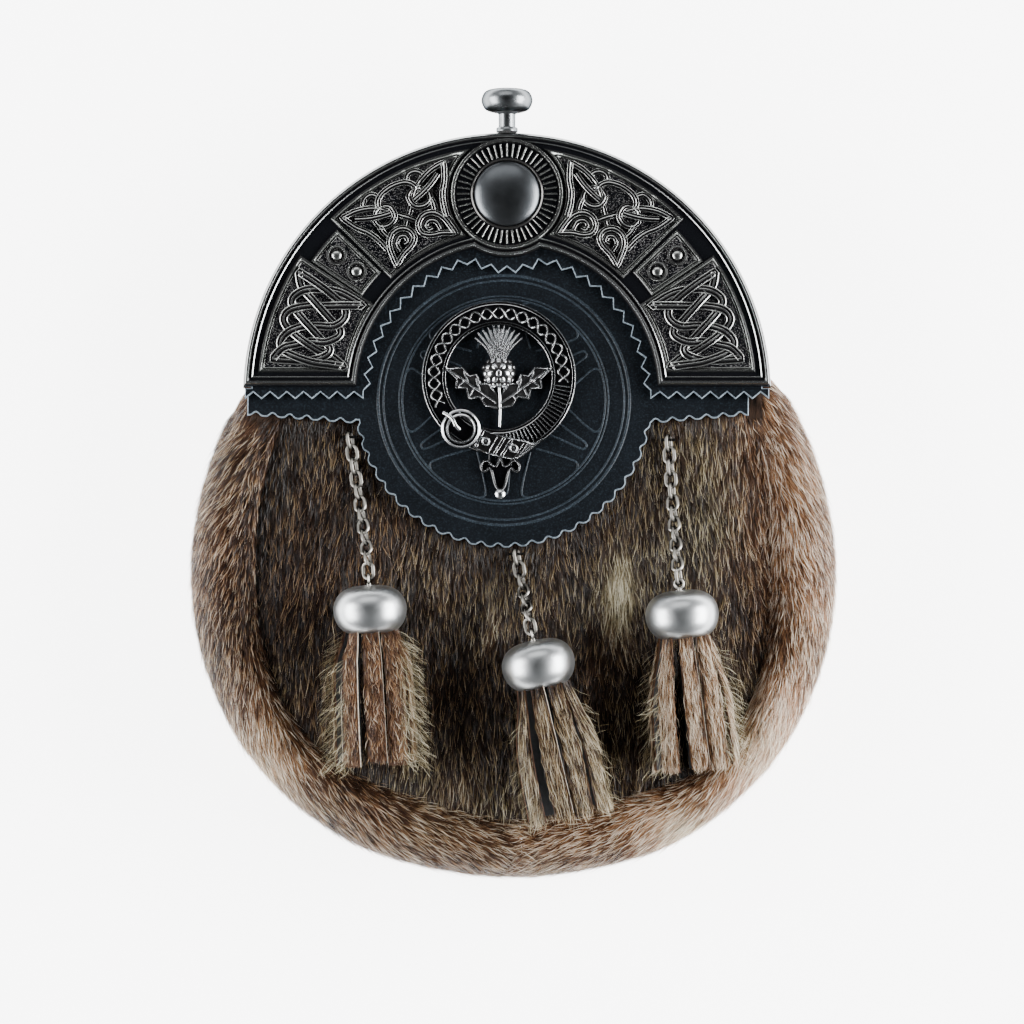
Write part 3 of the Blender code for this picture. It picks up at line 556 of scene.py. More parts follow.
def lathe(name: str, profile: Sequence[Row], steps: int = 64, upright: bool = True) -> Piece:
    """Draw a profile by extruding one point and spin it round the height axis.

    Args:
        name: The object's name.
        profile: Radius and height of each point.
        steps: Facets round the turn.
        upright: True for an axis out of the front, False for one up the pouch.

    Returns:
        A closed turned shell.
    """
    bpy.ops.object.select_all(action="DESELECT")
    start = Vector((profile[0][0], 0.0, profile[0][1]))
    bpy.ops.mesh.primitive_circle_add(vertices=3, radius=0.01, location=(0.0, 0.0, 0.0))
    piece = bpy.context.object
    piece.name = piece.data.name = name
    bpy.ops.object.mode_set(mode="EDIT")
    bpy.ops.mesh.select_all(action="SELECT")
    bpy.ops.mesh.merge(type="CENTER")
    bpy.ops.transform.translate(value=start)
    ends = list(profile[1:]) + ([profile[0]] if min(r for r, _ in profile) > 0.0 else [])
    for radius, height in ends:
        place = Vector((radius, 0.0, height))
        bpy.ops.mesh.extrude_region_move(TRANSFORM_OT_translate={"value": place - start})
        start = place
    bpy.ops.mesh.select_all(action="SELECT")
    bpy.ops.mesh.spin(steps=steps, angle=math.tau, center=(0.0, 0.0, 0.0), axis=(0.0, 0.0, 1.0))
    bpy.ops.object.mode_set(mode="OBJECT")
    outward(piece)
    if not upright:
        piece.data.transform(Matrix.Rotation(-math.pi / 2.0, 4, "X"))
    return piece


def slab(name: str, loops: Sequence[Sequence[Row]], low: float, high: float,
         round_mm: float = 0.0, steps: int = 0) -> Piece:
    """Cut a flat outline, with any inner loops as holes, out of a sheet.

    Args:
        name: The object's name.
        loops: The outline and its holes.
        low: Height of the underside.
        high: Height of the top.
        round_mm: How far the edges are taken off.
        steps: Steps of a round edge, or 0 for a flat one.

    Returns:
        The sheet as a mesh.
    """
    curve = bpy.data.curves.new(name, "CURVE")
    curve.dimensions = "2D"
    curve.fill_mode = "BOTH"
    curve.extrude = (high - low) / 2.0 - round_mm
    curve.bevel_depth = round_mm
    curve.bevel_resolution = steps
    curve.offset = -round_mm
    for loop in loops:
        spline = curve.splines.new("POLY")
        spline.points.add(len(loop) - 1)
        for point, (x, y) in zip(spline.points, loop):
            point.co = (x, y, 0.0, 1.0)
        spline.use_cyclic_u = True
    piece = bpy.data.objects.new(name, curve)
    bpy.context.scene.collection.objects.link(piece)
    only(piece)
    bpy.ops.object.convert(target="MESH")
    return outward(moved(bpy.context.object, 0.0, 0.0, (low + high) / 2.0))


def sweep(name: str, path: Any, profile: Sequence[Row], closed: bool = False) -> Piece:
    """Draw a profile along a path, keeping it upright.

    Args:
        name: The object's name.
        path: Points with x, y and height.
        profile: Side and height of each point of the closed profile.
        closed: True if the path meets itself.

    Returns:
        The swept body.
    """
    line = np.asarray(path, float)
    ahead = np.roll(line, -1, 0) - np.roll(line, 1, 0)
    if not closed:
        ahead[0], ahead[-1] = line[1] - line[0], line[-1] - line[-2]
    side = unit(np.stack([ahead[:, 1], -ahead[:, 0], np.zeros(len(line))], 1))
    shape = np.asarray([*profile, profile[0]], float)
    points = (line[:, None] + side[:, None] * shape[None, :, :1]
              + np.array([0.0, 0.0, 1.0]) * shape[None, :, 1:])
    if closed:
        points = np.concatenate([points, points[:1]])
    top = max(high for _, high in profile)
    wear = np.tile((shape[:, 1] / top - 0.4) / 0.45, len(points))
    return outward(painted(shaped_grid(name, points), wear), 1e-4, capped=not closed)


def ringed(name: str, rings: Sequence[Sequence[Row]]) -> Piece:
    """Join closed rings of equal length into a band, the last to the first."""
    points = np.asarray([*rings, rings[0]], float)
    return outward(shaped_grid(name, np.concatenate([points, points[:, :1]], 1)), 1e-4)


def joined(name: str, parts: Sequence[Piece]) -> Piece:
    """Join parts into one object, with their places kept.

    Args:
        name: Name of the result.
        parts: The parts, which may be moved or turned.

    Returns:
        The joined object.
    """
    for part in parts:
        part.data.transform(part.matrix_basis)
        part.matrix_basis = Matrix.Identity(4)
    bpy.ops.object.select_all(action="DESELECT")
    for part in parts:
        part.select_set(True)
    bpy.context.view_layer.objects.active = parts[0]
    if len(parts) > 1:
        bpy.ops.object.join()
    parts[0].name = name
    parts[0].data.name = name
    return parts[0]


def copied(part: Piece, place: Matrix) -> Piece:
    """Copy a part with a mesh of its own, put somewhere else.

    Args:
        part: The pattern piece.
        place: How its mesh is moved and turned.

    Returns:
        The copy.
    """
    twin = part.copy()
    twin.data = part.data.copy()
    twin.data.transform(place)
    bpy.context.scene.collection.objects.link(twin)
    return twin


def dropped(part: Piece) -> None:
    """Remove a pattern piece after its copies are made."""
    bpy.data.objects.remove(part, do_unlink=True)


def settle(piece: Piece, lie: Matrix, finishes: Sequence[Finish],
           replaces: Sequence[str] = (), sharp: float = 40.0) -> Piece:
    """Turn a piece to metres in the part's frame, dress it and let it ride.

    Args:
        piece: The piece in millimetres.
        lie: Where its drawing plane lies.
        finishes: One finish for each of its slots, or none if its parts are dressed already.
        replaces: CAD nodes that it stands for.
        sharp: Edges over this angle, in degrees, stay sharp.

    Returns:
        The same piece.
    """
    piece.data.transform(piece.matrix_basis)
    piece.matrix_basis = Matrix.Identity(4)
    piece.data.transform(Matrix.Scale(MM, 4) @ lie)
    if sharp:
        only(piece)
        bpy.ops.object.shade_smooth_by_angle(angle=math.radians(sharp))
    if finishes:
        dress(piece, *finishes)
    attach(piece, "root")
    if replaces:
        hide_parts(*replaces)
    triangles = sum(len(face.vertices) - 2 for face in piece.data.polygons)
    log.info("%s: %d triangles", piece.name, triangles)
    return piece


# ---- Shapes in the plane ----
def polar(x: float, y: float, radius: float, degrees: float) -> tuple[float, float]:
    """A point at a radius and an angle about a centre."""
    turn = math.radians(degrees)
    return (x + radius * math.cos(turn), y + radius * math.sin(turn))


def arc(x: float, y: float, radius: float, start: float, end: float, steps: int) -> Path:
    """Points along an arc, both ends included."""
    return [polar(x, y, radius, start + (end - start) * i / steps) for i in range(steps + 1)]


def flowing(points: Sequence[Row], per: int = 8, closed: bool = False) -> Array:
    """Draw a smooth line through points.

    Args:
        points: What the line passes through.
        per: Steps between two points.
        closed: True if the line meets itself.

    Returns:
        The line's points.
    """
    knots = np.asarray(points, float)
    count = len(knots)
    spans = count if closed else count - 1
    drawn = []
    for i in range(spans):
        if closed:
            a, b, c, d = (knots[(i + k) % count] for k in (-1, 0, 1, 2))
        else:
            a, b, c, d = (knots[min(max(i + k, 0), count - 1)] for k in (-1, 0, 1, 2))
        for t in np.arange(per) / per:
            drawn.append(0.5 * (2 * b + (c - a) * t + (2 * a - 5 * b + 4 * c - d) * t ** 2
                                + (3 * b - a - 3 * c + d) * t ** 3))
    if not closed:
        drawn.append(knots[-1])
    return np.array(drawn)


def lengths_along(line: Array) -> Array:
    """Length of a path up to each of its points."""
    return np.concatenate([[0.0], np.cumsum(np.linalg.norm(np.diff(line, axis=0), axis=1))])


def even(path: Any, count: int) -> Array:
    """Space points evenly along a path, both ends included.

    Args:
        path: The path's points.
        count: How many points to place.

    Returns:
        The points.
    """
    line = np.asarray(path, float)
    length = lengths_along(line)
    at = np.linspace(0.0, length[-1], count)
    return np.stack([np.interp(at, length, column) for column in line.T], 1)


def pinked(path: Any, pitch: float, depth: float, wave: bool) -> Path:
    """Cut a path with pinking shears.

    Args:
        path: The edge before the cut.
        pitch: Length of one tooth.
        depth: From the roots to the points.
        wave: True for a rounded scallop, False for straight teeth.

    Returns:
        The cut edge.
    """
    line = np.asarray(path, float)
    length = float(np.linalg.norm(np.diff(line, axis=0), axis=1).sum())
    teeth = round(length / pitch)
    per = 10 if wave else 2
    points = even(line, teeth * per + 1)
    ahead = unit(np.gradient(points, axis=0))
    phase = np.arange(len(points)) / per * math.tau
    swing = -np.cos(phase) + (0.22 * np.cos(2 * phase) if wave else 0.0)
    out = np.stack([ahead[:, 1], -ahead[:, 0]], 1) * swing[:, None] * depth / 2.0
    return [tuple(p) for p in points + out]


def eased(rows: Sequence[Row], column: int, value: Any) -> Array:
    """Read a column of a table smoothly against its first column.

    Args:
        rows: The table.
        column: The column to read.
        value: Places in the first column.

    Returns:
        The values there.
    """
    keys = np.array([row[0] for row in rows])
    heights = np.array([row[column] for row in rows])
    at = np.clip(np.asarray(value, float), keys[0], keys[-1])
    index = np.clip(np.searchsorted(keys, at, side="right") - 1, 0, len(keys) - 2)
    low, high = np.maximum(np.arange(len(keys)) - 1, 0), np.minimum(
        np.arange(len(keys)) + 1, len(keys) - 1)
    slope = (heights[high] - heights[low]) / (keys[high] - keys[low])
    span = keys[index + 1] - keys[index]
    t = (at - keys[index]) / span
    return ((2 * t ** 3 - 3 * t ** 2 + 1) * heights[index]
            + (t ** 3 - 2 * t ** 2 + t) * span * slope[index]
            + (3 * t ** 2 - 2 * t ** 3) * heights[index + 1]
            + (t ** 3 - t ** 2) * span * slope[index + 1])


def interlaced(paths: Sequence[Array], closed: Sequence[bool], lift: float
               ) -> list[Array]:
    """Let flat strands pass over and under each other in turn.

    Args:
        paths: The strands, as flat points.
        closed: Which of them meet themselves.
        lift: How far a strand rises or dips at a crossing.

    Returns:
        The strands with their heights.
    """
    meets: list[list[tuple[float, int, int]]] = [[] for _ in paths]
    number = 0
    for i, first in enumerate(paths):
        for j in range(i, len(paths)):
            second = paths[j]
            a, b = first, np.roll(first, -1, 0)
            c, d = second, np.roll(second, -1, 0)
            na, nc = (len(a) if closed[i] else len(a) - 1), (len(c) if closed[j] else len(c) - 1)
            r, s = (b - a)[:na, None], (d - c)[None, :nc]
            gap = c[None, :nc] - a[:na, None]
            cross = r[..., 0] * s[..., 1] - r[..., 1] * s[..., 0]
            cross = np.where(np.abs(cross) < 1e-9, np.inf, cross)
            t = (gap[..., 0] * s[..., 1] - gap[..., 1] * s[..., 0]) / cross
            u = (gap[..., 0] * r[..., 1] - gap[..., 1] * r[..., 0]) / cross
            for m, n in np.argwhere((t > 0) & (t <= 1) & (u > 0) & (u <= 1)):
                if i == j and (n - m < 3 or (closed[i] and n - m > na - 3)):
                    continue
                meets[i].append((m + t[m, n], number, 0))
                meets[j].append((n + u[m, n], number, 1))
                number += 1
    over: dict[tuple[int, int], float] = {}
    woven = []
    for path, around, found in zip(paths, closed, meets):
        last = -1.0
        for _, crossing, side in sorted(found):
            if (crossing, side) not in over:
                over[crossing, side] = -last
                over[crossing, 1 - side] = last
            last = over[crossing, side]
        heights = np.zeros(len(path))
        if found:
            at = np.array([place for place, _, _ in sorted(found)])
            signs = np.array([over[c, s] for _, c, s in sorted(found)])
            period = len(path) if around else None
            heights = np.interp(np.arange(len(path)), at, signs * lift, period=period)
            kernel = np.ones(5) / 5.0
            padded = np.pad(heights, 4, mode="wrap" if around else "edge")
            heights = np.convolve(padded, kernel, mode="same")[4:-4]
        woven.append(np.column_stack([path, heights]))
    return woven


# ---- Hair ----
@dataclass(frozen=True)
class Groom:
    """How one kind of hair grows: millimetres and shares."""
    length: float
    width: float
    rise: float = 0.16          # height of the tip as a share of the length
    stray: float = 0.16         # how far hairs stray sideways
    curl: float = 0.0           # how far a hair bends in waves
    segments: int = 2
    guard: float = 0.0          # share of long pale hairs that stand over the rest
    # Guard hairs' tips are painted paler: partly their own paler colour, partly painted glints of
    # light
    glint: float = 0.46         # how much paler those are at their tips
    mixed: float = 0.13         # how far hairs differ in tone
    lengths: Row = (0.62, 1.2)  # shortest and longest, as shares of the length
    rises: Row = (0.45, 1.6)
    widths: Row = (0.75, 1.25)
    guard_long: float = 1.25
    guard_high: float = 1.3
    guard_cool: float = 0.2
    tilt: float = 0.7           # how far a blade turns about its length
    bend: float = 0.07
    taper: float = 0.22         # how much of its width a blade loses before its tip
    lowest: float = 0.15        # no hair goes nearer to the floor


def unit(vectors: Array) -> Array:
    """The same directions with a length of one."""
    return vectors / np.maximum(np.linalg.norm(vectors, axis=-1, keepdims=True), 1e-9)


def ripple(x: Array, y: Array, size: float, seed: int) -> Array:
    """A smooth field of soft patches.

    Args:
        x: Places across.
        y: Places along.
        size: Size of a patch.
        seed: Which field.

    Returns:
        Values from about -1 to 1.
    """
    rng = np.random.default_rng(seed)
    total = np.zeros_like(x, dtype=float)
    for _ in range(6):
        turn, phase = rng.uniform(0, math.tau, 2)
        wave = math.tau / (size * rng.uniform(0.7, 1.6))
        total += np.sin(wave * (x * math.cos(turn) + y * math.sin(turn)) + phase)
    return total / 3.0


def hair_piece(name: str, roots: Array, normals: Array, nap: Array,
               groom: Groom, coat: Array, seed: int, lengths: Array | None = None,
               rises: Array | None = None) -> Piece:
    """Grow hairs as fine tapered blades that lie along the nap.

    Args:
        name: The object's name.
        roots: Where each hair starts.
        normals: Away from the hide there.
        nap: The way the hair is laid.
        groom: How the hair grows.
        coat: Tone and warmth of each hair.
        seed: Which random hairs.
        lengths: A share of the groom's length for each hair.
        rises: A share of the groom's rise for each hair.

    Returns:
        All hairs in one object.
    """
    rng = np.random.default_rng(seed)
    count, parts = len(roots), groom.segments
    side = unit(np.cross(normals, nap))
    sway = rng.normal(0.0, groom.stray, count)
    lay = unit(nap + side * sway[:, None])
    side = unit(np.cross(normals, lay))
    guard = rng.uniform(0, 1, count) < groom.guard
    length = groom.length * rng.uniform(*groom.lengths, count) * np.where(
        guard, groom.guard_long, 1.0)
    length *= 1.0 if lengths is None else lengths
    rise = groom.rise * rng.uniform(*groom.rises, count) * (1.0 if rises is None else rises)
    rise *= np.where(guard, groom.guard_high, 1.0)
    tilt = rng.uniform(-groom.tilt, groom.tilt, count)
    flat = unit(side * np.cos(tilt)[:, None] + normals * np.sin(tilt)[:, None])
    width = groom.width * rng.uniform(*groom.widths, count)
    bend = rng.normal(0.0, groom.bend, count) + groom.curl * rng.choice([-1.0, 1.0], count)
    spots, tones = [], []
    for step in range(parts + 1):
        t = step / parts
        up = rise * (1.8 * t - 0.8 * t * t)
        off = bend * (math.sin(math.pi * t) if groom.curl == 0.0 else
                      math.sin(1.6 * math.pi * t) * t)
        place = roots + (lay * (t * length)[:, None] + normals * (up * length)[:, None]
                         + side * (off * length)[:, None])
        if step < parts:
            half = flat * (width * (0.5 - groom.taper * t))[:, None]
            spots += [place - half, place + half]
            tones += [t, t]
        else:
            spots.append(place)
            tones.append(1.0)
    points = np.stack(spots, 1)
    points[..., 2] = np.maximum(points[..., 2], groom.lowest)
    per = 2 * parts + 1
    tip = 2 * (parts - 1)
    ribbon = [a + corner for a in range(0, tip, 2) for corner in (0, 1, 3, 2)]
    ribbon += [tip, tip + 1, tip + 2]
    loops = (np.arange(count)[:, None] * per + np.array(ribbon)).ravel()
    starts = [4 * step for step in range(parts)]
    mesh = bpy.data.meshes.new(name)
    mesh.vertices.add(count * per)
    mesh.loops.add(len(loops))
    mesh.polygons.add(count * parts)
    mesh.vertices.foreach_set("co", points.astype(np.float32).ravel())
    mesh.loops.foreach_set("vertex_index", loops.astype(np.int32))
    mesh.polygons.foreach_set("loop_start", (
        np.arange(count)[:, None] * len(ribbon) + np.array(starts)).ravel().astype(np.int32))
    mesh.update(calc_edges=True)
    paint = mesh.color_attributes.new("coat", "FLOAT_COLOR", "POINT")
    shade = np.ones((count, per, 4), np.float32)
    along = np.array(tones)[None, :]
    # Guard hairs are painted paler towards their tips and cooler: partly their own colour, partly
    # painted glints of light
    shade[..., 0] = np.clip(coat[:, :1] + np.where(guard, groom.glint, 0.0)[:, None] * along
                            + rng.normal(0.0, groom.mixed, count)[:, None], 0, 1)
    shade[..., 1] = along
    shade[..., 2] = np.clip(coat[:, 1:2] - groom.guard_cool * guard[:, None], 0, 1)
    paint.data.foreach_set("color", shade.ravel())
    piece = bpy.data.objects.new(name, mesh)
    bpy.context.scene.collection.objects.link(piece)
    return piece


def scattered(grid: Array, count: int, seed: int) -> tuple[Array, ...]:
    """Spread roots evenly over a surface given as a grid of points.

    Args:
        grid: Points in rows and columns.
        count: How many roots.
        seed: Which random roots.

    Returns:
        Roots, normals, row direction, column direction, row place and column place.
    """
    rng = np.random.default_rng(seed)
    down = grid[1:, :-1] - grid[:-1, :-1]
    over = grid[:-1, 1:] - grid[:-1, :-1]
    normal = np.cross(over, down)
    area = np.linalg.norm(normal, axis=2)
    chance = np.cumsum(area.ravel())
    cell = np.searchsorted(chance, rng.uniform(0, chance[-1], count))
    i, j = np.unravel_index(np.minimum(cell, area.size - 1), area.shape)
    s, t = rng.uniform(0, 1, (2, count, 1))
    roots = ((1 - s) * (1 - t) * grid[i, j] + s * (1 - t) * grid[i + 1, j]
             + (1 - s) * t * grid[i, j + 1] + s * t * grid[i + 1, j + 1])
    return (roots, unit(normal[i, j]), unit(down[i, j]), unit(over[i, j]),
            (i + s[:, 0]) / (len(grid) - 1), (j + t[:, 0]) / (grid.shape[1] - 1))


# ---- Pouch body ----
# turn_deg, outline radius, seam radius left, seam radius right, crown above the seam
BODY_ROWS = (
    (0.0, 82.4, 67.4, 67.4, 2.4), (15.0, 83.1, 66.2, 66.8, 2.7), (30.0, 85.4, 67.8, 69.4, 3.0),
    (45.0, 87.0, 71.4, 74.6, 3.0), (60.0, 88.3, 73.2, 75.0, 3.0), (75.0, 89.0, 72.6, 73.6, 3.0),
    (90.0, 89.6, 72.6, 72.6, 3.0), (105.0, 90.0, 74.4, 74.8, 2.8), (118.0, 91.0, 77.0, 77.8, 1.6),
    (125.0, 91.6, 79.3, 79.8, 0.0), (131.0, 91.2, 80.5, 80.8, -1.4))
# distance up the pouch, height, fall towards the sides
FRONT_ROWS = (
    (-119.0, 31.0, 2.0), (-100.0, 33.2, 2.6), (-80.0, 33.8, 3.0), (-50.0, 31.7, 3.0),
    (-25.0, 29.4, 1.5), (0.0, 26.9, 0.0), (36.0, 23.0, 0.0), (72.0, 19.0, 0.0))
# across in roll widths, own height, share of the seam's height, share of the crown
ROLL_ROWS = (
    (0.00, -5.0, 1.00, 0.0), (0.00, 0.0, 1.00, 0.0), (0.20, 0.0, 1.00, 0.9),
    (0.50, 0.0, 1.00, 0.9), (0.80, 0.0, 0.90, 0.2), (0.98, 0.0, 0.66, 0.0),
    (0.98, 0.0, 0.34, 0.0), (0.72, 0.0, 0.00, 0.0), (0.22, 0.0, 0.00, 0.0),
    (-0.04, 3.0, 0.00, 0.0), (-0.30, 3.0, 0.00, 0.0))
BODY_X, BODY_Y = 1.8, -51.5
SHOULDER_TURN, SEAM_TURN, SEAM_PLAY = 131.0, 1.6, 0.22
HALF_WIDE = 72.0                # of the front, where its sides have fallen by the whole fall
BEHIND = 71.0                   # radius of the arc where hide and flap end behind the cantle

# Lighter and darker places of the coat: x, y, half width, half height, tone, warmth
COAT_PATCHES = (
    (31.6, -54.3, 5.0, 12.0, 0.6, -0.6), (-3.4, -62.7, 3.5, 8.0, 0.22, 0.0),
    (2.2, -84.3, 26.0, 16.0, -0.1, 0.1), (51.2, -120.1, 9.0, 6.0, 0.34, -0.5),
    (-68.0, -98.0, 12.0, 20.0, 0.36, -0.1), (72.0, -40.0, 14.0, 30.0, 0.03, 0.35),
    (-52.0, -45.0, 20.0, 40.0, -0.1, 0.3), (56.0, -30.0, 15.0, 30.0, 0.13, -0.4),
    (0.0, -112.0, 34.0, 8.0, 0.2, -0.1), (72.0, -92.0, 14.0, 24.0, 0.26, -0.15))
# Soft streaks along the nap: how strong, how drawn out, size across, which field
COAT_STREAKS = ((0.05, 0.45, 16.0, 0), (0.04, 0.3, 4.0, 1), (0.05, 0.14, 1.5, 3))


def front_height(x: Any, y: Any) -> Array:
    """Height of the front panel's face at places about the cantle's centre."""
    fall = eased(FRONT_ROWS, 2, y) * (np.asarray(x) / HALF_WIDE) ** 2
    return eased(FRONT_ROWS, 1, y) - fall


def seam_radius(turn: Any) -> Array:
    """Where the front panel meets the roll, about the body's centre."""
    left, right = (eased(BODY_ROWS, column, np.abs(turn)) for column in (2, 3))
    return np.where(np.asarray(turn) < 0, left, right)


def coat_of(x: Array, y: Array, tone: Any, warmth: float, seed: int) -> Array:
    """Tone and warmth of the hair that grows at some places.

    Args:
        x: Places across.
        y: Places up the pouch.
        tone: The coat's usual tone.
        warmth: Its usual warmth.
        seed: Which field of soft patches.

    Returns:
        Tone and warmth for each place.
    """
    tones = tone
    for share, drawn, size, nth in COAT_STREAKS:
        tones = tones + share * ripple(x, y * drawn, size, seed + nth)
    warms = warmth + 0.15 * ripple(x, y, 30.0, seed + 2)
    for px, py, wide, high, lighter, warmer in COAT_PATCHES:
        near = np.exp(-((x - px) / wide) ** 2 - ((y - py) / high) ** 2)
        tones = tones + lighter * near
        warms = warms + warmer * near
    return np.stack([tones, warms], 1)


def walled(piece: Piece, thick: float, inner: int = 0, rim: int = 0) -> Piece:
    """Give an open skin a wall on its inner side.

    Args:
        piece: The skin.
        thick: The wall's thickness.
        inner: Slot of the wall's inner face.
        rim: Slot of its cut edge.

    Returns:
        The same piece.
    """
    only(piece)
    wall = piece.modifiers.new("hide", "SOLIDIFY")
    wall.thickness, wall.offset = thick, -1.0
    wall.material_offset, wall.material_offset_rim = inner, rim
    bpy.ops.object.modifier_apply(modifier="hide")
    return piece


@dataclass
class PouchBody:
    """The fur front, its padded rolls and the plain leather behind them."""
    hide_thick: float = 3.0
    front_hairs: int = 62000
    roll_hairs: int = 63000
    front_groom: Groom = Groom(length=5.6, width=0.15, rise=0.14, stray=0.12, guard=0.13,
                               glint=0.58, mixed=0.08)
    roll_groom: Groom = Groom(length=5.0, width=0.15, rise=0.17, stray=0.13, guard=0.13,
                              glint=0.75, mixed=0.09)
    # The roll's hair gets lighter from left to right: places across, and tones there
    roll_light: tuple[Row, Row] = ((-30.0, 45.0), (0.41, 0.575))
    # How far the nap leans off the roll, how warm the hair is, and the seam's lighter line
    left_lay: Row = (0.02, 0.85, 0.24)
    right_lay: Row = (-0.12, 1.0, 0.08)
    front_coat: Row = (0.32, 0.42)      # tone and warmth
    # The flap's shoulders cover hair above this line, out to this far from the middle
    cover: Row = (-6.0, 71.0)

    def roll_grid(self, start: float, end: float, rows: int, skin_only: bool) -> Array:
        """Points of a roll's outer face.

        Args:
            start: Turn at which it starts, from straight down.
            end: Turn at which it ends.
            rows: Sections along it.
            skin_only: True for the part that bears hair.

        Returns:
            A grid of sections by points across.
        """
        section = flowing([ROLL_ROWS[i] for i in range(1, 8)], 5)
        if not skin_only:
            section = np.vstack([ROLL_ROWS[0], section, ROLL_ROWS[8], ROLL_ROWS[9], ROLL_ROWS[10]])
        turns = np.linspace(start, end, rows)
        seam = seam_radius(turns)
        outline, crown = eased(BODY_ROWS, 1, abs(turns)), eased(BODY_ROWS, 4, abs(turns))
        angle = np.radians(turns - 90.0)
        heights = front_height(BODY_X + seam * np.cos(angle), BODY_Y + seam * np.sin(angle))
        radius = seam[:, None] + section[None, :, 0] * (outline - seam)[:, None]
        x = BODY_X + radius * np.cos(angle)[:, None]
        y = BODY_Y + radius * np.sin(angle)[:, None]
        z = (section[None, :, 1] + section[None, :, 2] * heights[:, None]
             + section[None, :, 3] * crown[:, None])
        return np.stack([x, y, z], 2)

    def roll(self, side: str, start: float, end: float) -> None:
        """Build one padded roll and its hair.

        Args:
            side: left or right.
            start: Turn at which it starts.
            end: Turn at which it ends.
        """
        piece = walled(shaped_grid(f"roll_{side}", self.roll_grid(start, end, 72, False)),
                       self.hide_thick)
        settle(piece, BODY, [Finish.WOOL], [f"gusset_{side}"])
        self.roll_hair(side, start, end)

    def roll_hair(self, side: str, start: float, end: float) -> None:
        """Lay the hair of one roll from its shoulder down to the seam.

        Args:
            side: left or right.
            start: Turn at which the roll starts.
            end: Turn at which it ends.
        """
        is_left = side == "left"
        number, way = (11, 1.0) if is_left else (12, -1.0)
        lean, warmth, sewn = self.left_lay if is_left else self.right_lay
        grid = self.roll_grid(start, end, 160, True)
        roots, normals, down, over, _, across = scattered(grid, self.roll_hairs, number)
        x, y = roots[:, 0], roots[:, 1]
        fan = 0.3 * np.clip(across / 0.25, 0, 1) + lean
        fan += 0.14 * ripple(x, y, 14.0, number) + 0.1 * ripple(x, y, 4.0, number + 1)
        nap = way * down + fan[:, None] * over
        covered = (y > self.cover[0]) & (np.abs(x) < self.cover[1])
        keep = (roots[:, 2] > 1.6) & ~covered
        coat = coat_of(x, y, np.interp(x, *self.roll_light), warmth, number)
        coat[:, 0] += np.where(y > -75.0, sewn, 0.0) * np.clip(1.0 - across / 0.07, 0, 1)
        # Painted shade: the hair darkens towards the seam, where the roll meets the front
        coat[:, 0] += 0.1 * np.clip(across / 0.3, 0, 1) - 0.1
        lengths = 0.75 + 0.25 * np.clip(across / 0.2, 0, 1)
        rises = np.clip((-5.0 - y) / 9.0, 0.15, 1.0) * np.where(np.abs(x) < 74.0, 1.0, 1.2)
        rises = np.where(np.abs(x) > 76.0, 1.0, rises)
        hair = hair_piece(f"roll_{side}_hair", roots[keep], normals[keep], nap[keep],
                          self.roll_groom, coat[keep], number, lengths[keep], rises[keep])
        settle(hair, BODY, [Finish.HAIR], sharp=0.0)

    def front_outline(self, gap: float, steps: int) -> Array:
        """Outline of the front panel: the seam, then the arc behind the cantle.

        Args:
            gap: How far it stays inside the seam.
            steps: Points along the seam.

        Returns:
            Turn and radius of each point, about the body's centre.
        """
        turns = np.linspace(-SHOULDER_TURN, SHOULDER_TURN, steps)
        edge = [(turn, float(seam_radius(turn)) - gap) for turn in turns]
        for turn in np.linspace(SHOULDER_TURN + 3.0, 360.0 - SHOULDER_TURN - 3.0, steps // 4):
            aim_x, aim_y = polar(0.0, 0.0, 1.0, turn - 90.0)
            toward = BODY_X * aim_x + BODY_Y * aim_y
            off = BODY_X ** 2 + BODY_Y ** 2 - BEHIND ** 2
            edge.append((turn, -toward + math.sqrt(toward ** 2 - off)))
        return np.array(edge)

    def front(self) -> None:
        """Build the crowned front panel and its hair."""
        edge = self.front_outline(0.3, 96)
        edge = np.vstack([edge, edge[:1]])
        angle = np.radians(edge[:, 0] - 90.0)
        rings = []
        for share in np.linspace(1.0, 0.0, 15):
            x = BODY_X + edge[:, 1] * share * np.cos(angle)
            y = BODY_Y + edge[:, 1] * share * np.sin(angle)
            rings.append(np.stack([x, y, front_height(x, y)], 1))
        piece = outward(shaped_grid("front_hide", np.array(rings)), 1e-4)
        if piece.data.polygons[0].normal.z < 0.0:
            piece.data.flip_normals()
        settle(walled(piece, self.hide_thick), BODY, [Finish.WOOL], ["front_panel"])
        self.front_hair()

    def front_hair(self) -> None:
        """Lay the front's hair straight down, close under the flap's edge."""
        rng = np.random.default_rng(5)
        x = rng.uniform(-82, 84, self.front_hairs * 4)
        y = rng.uniform(-121, -3.5, self.front_hairs * 4)
        turn = np.degrees(np.arctan2(x - BODY_X, -(y - BODY_Y)))
        inset = seam_radius(np.clip(turn, -SHOULDER_TURN, SHOULDER_TURN)) - np.hypot(
            x - BODY_X, y - BODY_Y)
